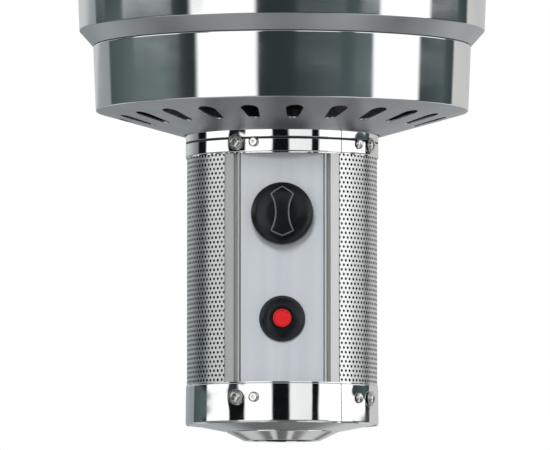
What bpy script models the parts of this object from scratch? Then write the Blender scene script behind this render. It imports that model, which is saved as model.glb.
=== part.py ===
"""Head of a gas patio heater: pole hub, control column, burner pan, emitter and reflector.

The head stands on a pole that goes up into the hub. The origin is the centre of the hub's
lower rim, +Z points up along the pole and the control panel faces -Y. Angles round the
column are counted from the panel's side towards +X.
"""

import math

import bmesh
import bpy
from mathutils import Matrix, Vector

MM = 0.001

# Fits
GAP = 0.3 * MM  # between pieces that touch
SCREW_CLEARANCE = 0.4 * MM  # a hole's radius over its screw's
SIDES = 48  # facets of every large turned piece
SMALL_SIDES = 12

# Pole hub
POLE_SOCKET_RADIUS = 25.7 * MM
POLE_SOCKET_DEPTH = 45 * MM
HUB_RIM_RADIUS = 29.6 * MM
HUB_TUBE_RADIUS = 29 * MM
HUB_FLANGE_RADIUS = 43 * MM
HUB_FLANGE_LOW = 6.5 * MM
HUB_FLANGE_TOP = 9.3 * MM
HUB_STOP_RADIUS = 19 * MM
HUB_STOP_THICKNESS = 3 * MM
HUB_TOP_LIP = 4 * MM
HUB_SCREWS = 3
HUB_SCREW_CIRCLE = 35 * MM
HUB_SCREW_RADIUS = 2 * MM
HUB_SCREW_GRIP = 3.5 * MM

# Control column
COLUMN_RADIUS = 75.2 * MM  # outside of the two bands
BAND_WALL = 0.8 * MM
COLUMN_HEIGHT = 233.6 * MM  # from the bottom band's lower edge to the upper band's top
BOTTOM_BAND_LOW = 12.8 * MM
BOTTOM_BAND_HEIGHT = 29.7 * MM
UPPER_BAND_HEIGHT = 25.7 * MM
DISH_WALL = 1.2 * MM
DISH_DROP = 2.6 * MM  # the dish's inner edge hangs this far below its flange
DISH_RISE = 5.6 * MM
DISH_LIP = 9 * MM
DISH_HOLE_MARGIN = 2 * MM
GUARD_WALL = 0.8 * MM
GUARD_OVERLAP = 18.5 * MM  # how far the guard runs behind the bottom band
LINER_WALL = 1.2 * MM
BAND_SCREW_ANGLES = (-28.2, 65.5, 151.8, 245.5)
BAND_SCREW_RISE = 18.7 * MM  # above the bottom band's lower edge
BAND_SCREW_DROP = 18 * MM  # below the top of the column
BAND_SCREW_RADIUS = 2 * MM
BAND_SCREW_HEAD = 5 * MM
BAND_SCREW_WASHER = 6 * MM
BAND_SCREW_LENGTH = 9 * MM

# Control panel and the trims on both sides of it
PANEL_HALF_WIDTH = 31.9 * MM
PANEL_SET_BACK = 8.8 * MM  # of its face from the guard's radius
PANEL_THICKNESS = 1.5 * MM
PANEL_SIDE_GAP = 0.9 * MM
TRIM_WALL = 1.2 * MM
TRIM_LIP = 1.4 * MM
TRIM_GROOVE_WIDTH = 3.2 * MM
TRIM_GROOVE_DEPTH = 4.5 * MM  # of its floor from the panel's face
TRIM_FACE = 6.6 * MM
TRIM_FLANGE = 5.6 * MM
TRIM_TUCK = 5 * MM  # how far the trim's edge runs behind the guard
CLOSER_THICKNESS = 1.2 * MM

# Gas valve and its knob
KNOB_HEIGHT = 173 * MM
KNOB_RADIUS = 24.25 * MM
KNOB_DEPTH = 19 * MM
KNOB_SKIRT = 8 * MM
KNOB_WAIST = 5.25 * MM
KNOB_SCOOP_RADIUS = 26 * MM
KNOB_TRAVEL = 3 * MM
STOP_CLEARANCE = 0.5 * MM
STEM_RADIUS = 2.95 * MM
STEM_FIT = 0.25 * MM
STEM_IN_KNOB = 11 * MM
PLUG_RADIUS = 7 * MM
PLUG_FIT = 0.35 * MM
PLUG_LENGTH = 27 * MM
PLUG_SOCKET = 17 * MM
VALVE_HALF_WIDTH = 17 * MM
VALVE_DEPTH = 36.7 * MM
VALVE_HALF_HEIGHT = 18 * MM
PORT_SET_BACK = 21.7 * MM  # of the gas ports from the valve's front
PORT_RADIUS = 6 * MM
PORT_LENGTH = 8 * MM
PORT_BORE = 2.5 * MM
BRACKET_HALF_HEIGHT = 28 * MM
BRACKET_THICKNESS = 1.5 * MM
PIPE_RADIUS = 3.2 * MM
STRAIGHT_END = 2.5 * MM  # of every bent pipe
INLET_LENGTH = 26 * MM
INLET_RADIUS = 9 * MM
SWITCH_SIZE = (12 * MM, 12.4 * MM, 30 * MM)
SWITCH_SET_BACK = 4 * MM  # from the cock's front, so that it clears the trims

# Igniter
IGNITER_HEIGHT = 92 * MM
BEZEL_RADIUS = 17.85 * MM
BEZEL_DEPTH = 8.2 * MM
BUTTON_RADIUS = 7.1 * MM
BUTTON_FIT = 0.3 * MM
BUTTON_PROUD = 3 * MM
BUTTON_LENGTH = 16.5 * MM
BUTTON_TRAVEL = 4 * MM
IGNITER_RADIUS = 9 * MM
IGNITER_FRONT = 4.7 * MM  # how far it stands out of the panel
IGNITER_LENGTH = 50 * MM
NUT_RADIUS = 13 * MM
NUT_THICKNESS = 5 * MM

# Burner pan
PAN_WALL = 1 * MM
PAN_COLLAR_GAP = 0.8 * MM
PAN_COLLAR_HEIGHT = 9.2 * MM
PAN_FLANGE = 10 * MM
PAN_RISE = 19.7 * MM  # of the underside, from the collar to its edge
PAN_STEP_RADIUS = 147.5 * MM
PAN_LOWER_HEIGHT = 50.8 * MM
PAN_STEP_FLANGE = 11.5 * MM
PAN_STEP_OUT = 12.9 * MM  # of the upper pan over the lower one
PAN_TAPER = 2.1 * MM  # each wall of the pan is this much narrower at its foot
PAN_CHAMFER = 11.7 * MM
PAN_UPPER_HEIGHT = 65.2 * MM
PAN_RIM_LIP = 4.5 * MM
VENTS = 22
VENT_INNER = (105 * MM, 4.6 * MM)  # distance from the axis and radius of a vent's inner end
VENT_OUTER = (121.5 * MM, 6.8 * MM)
VENT_PHASE = 4.5

# Burner
DECK_MARGIN = 1.5 * MM
DECK_THICKNESS = 1.2 * MM
SHIELD_RADIUS = 118.5 * MM
SHIELD_DEPTH = 22.3 * MM
SHIELD_FLANGE = 10 * MM
MIXING_RADIUS = 17 * MM
MIXING_THROAT = 13 * MM
MIXING_DROP = 6.4 * MM  # of its foot below the column's top
MIXING_LENGTH = 90 * MM
MIXING_WALL = 1.2 * MM
MIXING_FIT = 0.6 * MM
AIR_WINDOW = 8 * MM
INJECTOR_RADIUS = 7 * MM
INJECTOR_NECK = 5 * MM
INJECTOR_LENGTH = 17.7 * MM
INJECTOR_HEX = 8.4 * MM
BURNER_RADIUS = 55 * MM
BURNER_HEIGHT = 40 * MM
PILOT_DISTANCE = 76 * MM
PILOT_SPACING = 12 * MM
PILOT_SHELF = 8.7 * MM  # above the deck
PILOT_SHELF_DEPTH = 15 * MM
LEAD_RADIUS = 1.3 * MM
LINE_SET_BACK = 11.7 * MM  # of the cock's two top outlets from its front
PILOT_OUTLET_SIDE = 10 * MM
LINE_RISE = 84 * MM  # straight length of both lines above the cock
LINE_RUN_IN = 56 * MM  # straight length of both lines below the shelf
PILOT_TUBE_RADIUS = 1.6 * MM
LINE_WINDOW = 22 * MM  # half width of the opening that the lines pass through

# Emitter and reflector
EMITTER_RADIUS = 125 * MM
EMITTER_WALL = 1 * MM
EMITTER_HEIGHT = 249.1 * MM
CAP_OVERHANG = 2.2 * MM
CAP_RIM = 11.5 * MM
STANDOFFS = 3
STANDOFF_CIRCLE = 95 * MM
STANDOFF_RADIUS = 5 * MM
STANDOFF_STUD = 2.5 * MM
STANDOFF_STUD_LENGTH = 6 * MM
REFLECTOR_RADIUS = 406.5 * MM
REFLECTOR_LIFT = 46.5 * MM  # over the emitter's cap
REFLECTOR_FLAT = 120 * MM
REFLECTOR_DROP = 84 * MM
REFLECTOR_ROLL = 6 * MM
REFLECTOR_WALL = 1 * MM
NUT_HEIGHT = 9.2 * MM
DOME_NUT_RADIUS = 6.5 * MM

# Places that follow from the sizes above
COLUMN_TOP = BOTTOM_BAND_LOW + COLUMN_HEIGHT
UPPER_BAND_LOW = COLUMN_TOP - UPPER_BAND_HEIGHT
BAND_INSIDE = COLUMN_RADIUS - BAND_WALL
GUARD_RADIUS = BAND_INSIDE - GAP
GUARD_LOW = BOTTOM_BAND_LOW + BOTTOM_BAND_HEIGHT - GUARD_OVERLAP
GUARD_TOP = COLUMN_TOP - 3.4 * MM
PANEL_FRONT = GUARD_RADIUS - PANEL_SET_BACK  # distance of its face from the axis
PANEL_BACK = PANEL_FRONT - PANEL_THICKNESS
TRIM_GROOVE_FLOOR = PANEL_FRONT - TRIM_GROOVE_DEPTH
TRIM_GROOVE_IN = PANEL_HALF_WIDTH + PANEL_SIDE_GAP + TRIM_LIP
TRIM_GROOVE_OUT = TRIM_GROOVE_IN + TRIM_GROOVE_WIDTH
TRIM_EDGE = TRIM_GROOVE_OUT + TRIM_FACE
BRACKET_FRONT = PANEL_BACK - GAP
VALVE_FRONT = BRACKET_FRONT - BRACKET_THICKNESS - GAP
PORT_DEPTH = VALVE_FRONT - PORT_SET_BACK  # distance of the ports from the column's axis
LINE_DEPTH = VALVE_FRONT - LINE_SET_BACK
BRACKET_HALF_WIDTH = PANEL_HALF_WIDTH - TRIM_FLANGE - GAP
PLUG_FRONT = VALVE_FRONT - 0.5 * MM
KNOB_BACK = PANEL_FRONT + KNOB_TRAVEL + STOP_CLEARANCE
DISH_FLANGE_LOW = HUB_FLANGE_TOP + GAP
HUB_TOP = POLE_SOCKET_DEPTH + HUB_STOP_THICKNESS + HUB_TOP_LIP
COLLAR_RADIUS = COLUMN_RADIUS + PAN_COLLAR_GAP
PAN_FLANGE_LOW = COLUMN_TOP + GAP
PAN_FLOOR = PAN_FLANGE_LOW - PAN_COLLAR_HEIGHT
PAN_LOWER_EDGE = PAN_FLOOR + PAN_RISE
PAN_STEP = PAN_LOWER_EDGE + PAN_LOWER_HEIGHT
PAN_UPPER_RADIUS = PAN_STEP_RADIUS + PAN_STEP_OUT
PAN_UPPER_LOW = PAN_STEP + GAP
PAN_RIM = PAN_UPPER_LOW + PAN_UPPER_HEIGHT
DECK_LOW = PAN_UPPER_LOW + PAN_WALL + GAP
DECK_TOP = DECK_LOW + DECK_THICKNESS
DECK_RADIUS = PAN_STEP_RADIUS - DECK_MARGIN
SHIELD_FLANGE_LOW = DECK_LOW - GAP - PAN_WALL
SHIELD_FLOOR = SHIELD_FLANGE_LOW - SHIELD_DEPTH
SEAT = DECK_TOP + GAP  # what stands on the deck starts here
EMITTER_TOP = SEAT + EMITTER_HEIGHT
CAP_UNDER = EMITTER_TOP + GAP
CAP_TOP = CAP_UNDER + EMITTER_WALL
REFLECTOR_TOP = CAP_TOP + REFLECTOR_LIFT
MIXING_LOW = COLUMN_TOP - MIXING_DROP
PORT_LOW = KNOB_HEIGHT - VALVE_HALF_HEIGHT - PORT_LENGTH
PORT_TOP = KNOB_HEIGHT + VALVE_HALF_HEIGHT + PORT_LENGTH
INJECTOR_LOW = MIXING_LOW - INJECTOR_HEX - GAP
IGNITER_BACK = PANEL_FRONT + IGNITER_FRONT - IGNITER_LENGTH
INLET_LOW = HUB_TOP + 6 * MM
BAND_SCREW_HEIGHTS = (BOTTOM_BAND_LOW + BAND_SCREW_RISE, COLUMN_TOP - BAND_SCREW_DROP)
PANEL_LOW = GUARD_LOW + 12 * MM
PANEL_TOP = UPPER_BAND_LOW + 6 * MM

# Finishes: colour, roughness, metallic
CHROME = ("polished_stainless", (0.62, 0.63, 0.63), 0.12, 1.0)
BRUSHED = ("brushed_aluminium", (0.56, 0.58, 0.60), 0.38, 1.0)
PLATED = ("zinc_plated_steel", (0.50, 0.50, 0.48), 0.40, 1.0)
BRASS = ("brass", (0.62, 0.45, 0.20), 0.35, 1.0)
BLACK = ("black_plastic", (0.012, 0.013, 0.014), 0.38, 0.0)
RED = ("red_plastic", (0.72, 0.015, 0.02), 0.32, 0.0)
CERAMIC = ("ceramic", (0.80, 0.79, 0.74), 0.45, 0.0)
SLEEVE = ("silicone_sleeve", (0.55, 0.54, 0.50), 0.60, 0.0)
COPPER = ("copper", (0.70, 0.36, 0.22), 0.35, 1.0)
LINER = ("black_coated_steel", (0.02, 0.02, 0.02), 0.60, 0.0)
HEATPROOF = ("heatproof_steel", (0.34, 0.33, 0.32), 0.45, 1.0)


def empty_scene():
    for obj in list(bpy.data.objects):
        bpy.data.objects.remove(obj, do_unlink=True)


def new_collection(name):
    collection = bpy.data.collections.new(name)
    bpy.context.scene.collection.children.link(collection)
    return collection


def finish_material(finish):
    name, colour, roughness, metallic = finish
    material = bpy.data.materials.new(name)
    material.use_nodes = True
    shader = material.node_tree.nodes["Principled BSDF"]
    shader.inputs["Base Color"].default_value = (*colour, 1)
    shader.inputs["Roughness"].default_value = roughness
    shader.inputs["Metallic"].default_value = metallic
    return material


def keep(obj, finish, collection):
    """Put a finished sub-part in its collection with a material of its own."""
    if finish:
        obj.data.materials.append(finish_material(finish))
    if collection is CUTTERS:
        obj.hide_render = True
        obj.display_type = "WIRE"
    collection.objects.link(obj)
    return obj


def mesh_object(name, bm, finish, collection=None):
    mesh = bpy.data.meshes.new(name)
    bm.to_mesh(mesh)
    bm.free()
    return keep(bpy.data.objects.new(name, mesh), finish, collection or PARTS)


def turned(name, outline, finish, wall=0, closed=False, sides=SIDES, collection=None):
    """Turn an outline of (radius, height) points about Z. It runs down its outer side.

    With a wall it is the outside of a sheet shell, otherwise the outline of a solid.
    """
    bm = bmesh.new()
    points = [bm.verts.new((radius, 0, height)) for radius, height in outline]
    for first, second in zip(points, points[1:]):
        bm.edges.new((first, second))
    if closed:
        bm.edges.new((points[-1], points[0]))
    obj = mesh_object(name, bm, finish, collection)
    screw = obj.modifiers.new("turn", "SCREW")
    screw.steps = sides
    screw.render_steps = sides
    screw.use_merge_vertices = True
    screw.merge_threshold = 0.000001
    if wall:
        shell = obj.modifiers.new("wall", "SOLIDIFY")
        shell.thickness = wall
        shell.offset = -1
        shell.use_even_offset = True
    return obj


def plate(name, outlines, thickness, finish, collection=None):
    """A flat plate: the first outline is its edge and the others are its holes."""
    curve = bpy.data.curves.new(name, "CURVE")
    curve.dimensions = "2D"
    curve.fill_mode = "BOTH"
    curve.extrude = thickness / 2
    for outline in outlines:
        spline = curve.splines.new("POLY")
        spline.points.add(len(outline) - 1)
        for point, (x, y) in zip(spline.points, outline):
            point.co = (x, y, 0, 1)
        spline.use_cyclic_u = True
    guide = bpy.data.objects.new(name + "_outline", curve)
    bpy.context.scene.collection.objects.link(guide)
    mesh = bpy.data.meshes.new_from_object(guide.evaluated_get(bpy.context.evaluated_depsgraph_get()))
    bpy.data.objects.remove(guide, do_unlink=True)
    bm = bmesh.new()
    bm.from_mesh(mesh)
    bpy.data.meshes.remove(mesh)
    bmesh.ops.remove_doubles(bm, verts=bm.verts, dist=0.000001)
    bmesh.ops.recalc_face_normals(bm, faces=bm.faces)
    bmesh.ops.translate(bm, verts=bm.verts, vec=(0, 0, thickness / 2))
    return mesh_object(name, bm, finish, collection)


def cube(name, low, high, finish, collection=None, bevel=0):
    """A block between two corners, which may have rounded edges."""
    bm = bmesh.new()
    size = [b - a for a, b in zip(low, high)]
    middle = [(a + b) / 2 for a, b in zip(low, high)]
    bmesh.ops.create_cube(bm, size=1, matrix=Matrix.Translation(middle) @ Matrix.Diagonal((*size, 1)))
    obj = mesh_object(name, bm, finish, collection)
    if bevel:
        edge = obj.modifiers.new("edge", "BEVEL")
        edge.width = bevel
        edge.segments = 2
    return obj


def cylinder(bm, radius, length, matrix, sides=SMALL_SIDES):
    """Add a cylinder from its own origin up its own Z."""
    placed = matrix @ Matrix.Translation((0, 0, length / 2))
    bmesh.ops.create_cone(
        bm, cap_ends=True, segments=sides, radius1=radius, radius2=radius, depth=length, matrix=placed
    )


def cut(obj, cutter, operation="DIFFERENCE"):
    boolean = obj.modifiers.new(cutter.name, "BOOLEAN")
    boolean.operation = operation
    boolean.object = cutter
    boolean.solver = "EXACT"


def face_forward(obj, depth, height):
    """Lay a piece made along Z so that it points out of the panel, at a distance from the axis."""
    obj.location = (0, -depth, height)
    obj.rotation_euler = (math.radians(90), 0, 0)
    return obj


def radial_matrix(angle, distance, height):
    """Z points outwards at an angle round the column, from a distance off the axis."""
    turn = math.radians(angle)
    spin = Matrix.Rotation(turn, 4, "Z") @ Matrix.Rotation(math.radians(90), 4, "X")
    place = Vector((math.sin(turn) * distance, -math.cos(turn) * distance, height))
    return Matrix.Translation(place) @ spin


def ring_place(angle, distance, height=0):
    turn = math.radians(angle)
    return (math.sin(turn) * distance, -math.cos(turn) * distance, height)


def circle(radius, sides=SMALL_SIDES, middle=(0, 0)):
    steps = [2 * math.pi * step / sides for step in range(sides)]
    return [(middle[0] + radius * math.cos(a), middle[1] + radius * math.sin(a)) for a in steps]


def arc(radius, start, end, steps):
    """Points on a circle round the column, from one angle to another."""
    angles = [start + (end - start) * step / steps for step in range(steps + 1)]
    return [ring_place(angle, radius)[:2] for angle in angles]


def at_edge(x, radius):
    """The angle round the column at which a circle reaches x."""
    return math.degrees(math.asin(x / radius))


def tube(name, points, radius, finish):
    """A drawn tube or a lead along a line of points."""
    curve = bpy.data.curves.new(name, "CURVE")
    curve.dimensions = "3D"
    curve.bevel_depth = radius
    curve.bevel_resolution = 2
    curve.use_fill_caps = True
    spline = curve.splines.new("POLY")
    spline.points.add(len(points) - 1)
    for target, point in zip(spline.points, points):
        target.co = (*point, 1)
    return keep(bpy.data.objects.new(name, curve), finish, PARTS)


def bend(start, start_pull, end_pull, end, steps=12):
    """A smooth run from one point towards its pull to another from its own, with straight ends."""
    start, start_pull, end_pull, end = (Vector(c) for c in (start, start_pull, end_pull, end))
    first = start + (start_pull - start).normalized() * STRAIGHT_END
    last = end + (end_pull - end).normalized() * STRAIGHT_END
    points = [start]
    for step in range(steps + 1):
        t = step / steps
        weights = ((1 - t) ** 3, 3 * t * (1 - t) ** 2, 3 * t * t * (1 - t), t**3)
        corners = (first, start_pull, end_pull, last)
        points.append(sum((c * w for c, w in zip(corners, weights)), Vector()))
    return [*points, end]


def smooth_route(points, steps=3):
    """A smooth line through every point of a route."""
    route = [Vector(point) for point in points]
    padded = [route[0] * 2 - route[1], *route, route[-1] * 2 - route[-2]]
    line = []
    for before, first, second, after in zip(padded, padded[1:], padded[2:], padded[3:]):
        for step in range(steps):
            t = step / steps
            pull = (second - before) * t + (before * 2 - first * 5 + second * 4 - after) * t * t
            line.append(first + (pull + (first * 3 - before - second * 3 + after) * t**3) / 2)
    return [*line, route[-1]]


def build_hub():
    """Turned steel hub that the pole goes into, with a stop for the pole's end."""
    stop_top = POLE_SOCKET_DEPTH + HUB_STOP_THICKNESS
    hub = turned(
        "pole_hub",
        [
            (HUB_TUBE_RADIUS, HUB_TOP),
            (HUB_TUBE_RADIUS, HUB_FLANGE_TOP),
            (HUB_FLANGE_RADIUS, HUB_FLANGE_TOP),
            (HUB_FLANGE_RADIUS, HUB_FLANGE_LOW),
            (HUB_RIM_RADIUS, 0),
            (POLE_SOCKET_RADIUS, 0),
            (POLE_SOCKET_RADIUS, POLE_SOCKET_DEPTH),
            (HUB_STOP_RADIUS, POLE_SOCKET_DEPTH),
            (HUB_STOP_RADIUS, stop_top),
            (POLE_SOCKET_RADIUS, stop_top),
            (POLE_SOCKET_RADIUS, HUB_TOP),
        ],
        CHROME,
        closed=True,
    )
    lip = GUARD_RADIUS
    cone_low = DISH_FLANGE_LOW - DISH_DROP
    cone_high = cone_low + DISH_RISE
    dish_hole = HUB_TUBE_RADIUS + DISH_HOLE_MARGIN
    dish = turned(
        "base_dish",
        [
            (lip, cone_high + DISH_LIP),
            (lip, cone_high + 0.9 * MM),
            (lip - 0.5 * MM, cone_high),
            (HUB_FLANGE_RADIUS + 3 * GAP, cone_low),
            (HUB_FLANGE_RADIUS + 2 * GAP, DISH_FLANGE_LOW),
            (dish_hole, DISH_FLANGE_LOW),
        ],
        CHROME,
        wall=DISH_WALL,
    )
    holes = bmesh.new()
    head_seat = DISH_FLANGE_LOW + DISH_WALL + GAP
    hole_depth = HUB_SCREW_GRIP + GAP
    for number in range(HUB_SCREWS):
        x, y, _ = ring_place(360 * number / HUB_SCREWS, HUB_SCREW_CIRCLE)
        low = HUB_FLANGE_TOP - hole_depth
        cylinder(
            holes, HUB_SCREW_RADIUS + SCREW_CLEARANCE, head_seat - low, Matrix.Translation((x, y, low))
        )
        screw = turned(
            f"hub_screw_{number + 1}",
            [
                (0, 2.6 * MM),
                (3 * MM, 2.3 * MM),
                (3.9 * MM, 1 * MM),
                (3.9 * MM, 0),
                (HUB_SCREW_RADIUS, 0),
                (HUB_SCREW_RADIUS, HUB_FLANGE_TOP - HUB_SCREW_GRIP - head_seat),
                (0, HUB_FLANGE_TOP - HUB_SCREW_GRIP - head_seat),
            ],
            PLATED,
            sides=SMALL_SIDES,
        )
        screw.location = (x, y, head_seat)
    cutter = mesh_object("hub_screw_holes", holes, None, CUTTERS)
    cut(hub, cutter)
    cut(dish, cutter)


def band_screw_cutter():
    """Radial holes that the large band screws pass through."""
    holes = bmesh.new()
    for height in BAND_SCREW_HEIGHTS:
        for angle in BAND_SCREW_ANGLES:
            place = radial_matrix(angle, COLUMN_RADIUS - 2 * BAND_SCREW_LENGTH, height)
            cylinder(holes, BAND_SCREW_RADIUS + SCREW_CLEARANCE, 3 * BAND_SCREW_LENGTH, place)
    return mesh_object("band_screw_holes", holes, None, CUTTERS)


def build_bands(screw_holes):
    """Two polished bands that clamp the guard, the liner and the trims together."""
    spans = {
        "bottom_band": (BOTTOM_BAND_LOW, BOTTOM_BAND_LOW + BOTTOM_BAND_HEIGHT),
        "upper_band": (UPPER_BAND_LOW, COLUMN_TOP),
    }
    for name, (low, high) in spans.items():
        corners = [(COLUMN_RADIUS, high), (COLUMN_RADIUS, low), (BAND_INSIDE, low), (BAND_INSIDE, high)]
        cut(turned(name, corners, CHROME, closed=True), screw_holes)
    for level, height in zip(("bottom", "upper"), BAND_SCREW_HEIGHTS):
        for number, angle in enumerate(BAND_SCREW_ANGLES):
            screw = turned(
                f"{level}_band_screw_{number + 1}",
                [
                    (0, 4.2 * MM),
                    (BAND_SCREW_HEAD * 0.7, 3.7 * MM),
                    (BAND_SCREW_HEAD, 2.2 * MM),
                    (BAND_SCREW_HEAD, 1 * MM),
                    (BAND_SCREW_WASHER, 1 * MM),
                    (BAND_SCREW_WASHER, 0),
                    (BAND_SCREW_RADIUS, 0),
                    (BAND_SCREW_RADIUS, -BAND_SCREW_LENGTH),
                    (0, -BAND_SCREW_LENGTH),
                ],
                CHROME,
                sides=SMALL_SIDES,
            )
            screw.location = ring_place(angle, COLUMN_RADIUS + GAP, height)
            screw.rotation_euler = (math.radians(90), 0, math.radians(angle))


def build_guard(screw_holes):
    """Perforated sheet round the column over a dark steel liner, both open at the panel."""
    edge = at_edge(TRIM_EDGE + 1.3 * GAP, GUARD_RADIUS)
    inside = GUARD_RADIUS - GUARD_WALL
    steps = round((360 - 2 * edge) / (360 / SIDES))
    outline = arc(GUARD_RADIUS, edge, 360 - edge, steps) + arc(inside, 360 - edge, edge, steps)
    guard = plate("perforated_guard", [outline], GUARD_TOP - GUARD_LOW, CHROME)
    guard.location.z = GUARD_LOW
    cut(guard, screw_holes)
    outside = inside - GAP - 0.1 * MM
    edge = at_edge(TRIM_EDGE + TRIM_TUCK + 2 * GAP, outside)
    steps = round((360 - 2 * edge) / (360 / SIDES))
    within = outside - LINER_WALL
    outline = arc(outside, edge, 360 - edge, steps) + arc(within, 360 - edge, edge, steps)
    liner = plate("column_liner", [outline], COLUMN_TOP - GUARD_LOW, LINER)
    liner.location.z = GUARD_LOW
    cut(liner, screw_holes)


def trim_outline():
    """Section of the right trim: guard edge, face, groove, lip and the flange behind the panel."""
    face_out = ring_place(at_edge(TRIM_EDGE, GUARD_RADIUS), GUARD_RADIUS)[:2]
    face_in = ring_place(at_edge(TRIM_GROOVE_OUT, GUARD_RADIUS), GUARD_RADIUS)[:2]
    behind = GUARD_RADIUS - GUARD_WALL - 1.4 * GAP
    tuck_start = ring_place(at_edge(TRIM_EDGE - 0.4 * MM, behind), behind)[:2]
    tuck_end = ring_place(at_edge(TRIM_EDGE + TRIM_TUCK, behind), behind)[:2]
    deep = behind - TRIM_WALL
    deep_end = ring_place(at_edge(TRIM_EDGE + TRIM_TUCK - 0.8 * MM, deep), deep)[:2]
    deep_start = ring_place(at_edge(TRIM_EDGE - 1 * MM, deep), deep)[:2]
    lip_in = TRIM_GROOVE_IN - TRIM_LIP
    lip_radius = GUARD_RADIUS - 0.1 * MM
    flange_front = BRACKET_FRONT
    flange_edge = PANEL_HALF_WIDTH - TRIM_FLANGE
    return [
        face_out,
        face_in,
        (TRIM_GROOVE_OUT, -TRIM_GROOVE_FLOOR),
        (TRIM_GROOVE_IN, -TRIM_GROOVE_FLOOR),
        ring_place(at_edge(TRIM_GROOVE_IN, lip_radius), lip_radius)[:2],
        ring_place(at_edge(lip_in, lip_radius), lip_radius)[:2],
        (lip_in, -flange_front),
        (flange_edge, -flange_front),
        (flange_edge, TRIM_WALL - flange_front),
        (lip_in, TRIM_WALL - flange_front),
        (lip_in, TRIM_WALL - TRIM_GROOVE_FLOOR),
        (TRIM_GROOVE_OUT + TRIM_WALL, TRIM_WALL - TRIM_GROOVE_FLOOR),
        (TRIM_GROOVE_OUT + TRIM_WALL, face_in[1] + 2.3 * MM),
        deep_start,
        deep_end,
        tuck_end,
        tuck_start,
    ]


def build_panel(screw_holes):
    """Flat control panel between two extruded trims, closed above and below by thin plates."""
    right = trim_outline()
    left = [(-x, y) for x, y in right]
    for name, outline in (("right_trim", right), ("left_trim", left)):
        trim = plate(name, [outline], GUARD_TOP - GUARD_LOW, BRUSHED)
        trim.location.z = GUARD_LOW
        cut(trim, screw_holes)
    height = PANEL_TOP - PANEL_LOW
    edge = PANEL_HALF_WIDTH
    face = [(-edge, 0), (edge, 0), (edge, height), (-edge, height)]
    stem_hole = circle(STEM_RADIUS + 2 * MM, middle=(0, KNOB_HEIGHT - PANEL_LOW))
    igniter_hole = circle(IGNITER_RADIUS + GAP, SMALL_SIDES * 2, (0, IGNITER_HEIGHT - PANEL_LOW))
    panel = plate("control_panel", [face, stem_hole, igniter_hole], PANEL_THICKNESS, BRUSHED)
    face_forward(panel, PANEL_BACK, PANEL_LOW)
    reach = BAND_INSIDE - 1.4 * GAP
    side = at_edge(TRIM_GROOVE_IN - TRIM_LIP - 1.4 * GAP, reach)
    x, y, _ = ring_place(side, reach)
    crescent = [(x, -PANEL_FRONT - GAP), *arc(reach, side, -side, 10), (-x, -PANEL_FRONT - GAP)]
    rise = {
        "lower_closer": BOTTOM_BAND_LOW + BOTTOM_BAND_HEIGHT - CLOSER_THICKNESS - 0.5 * MM,
        "upper_closer": UPPER_BAND_LOW + 0.5 * MM,
    }
    for name, low in rise.items():
        plate(name, [crescent], CLOSER_THICKNESS, BRUSHED).location.z = low


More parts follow.
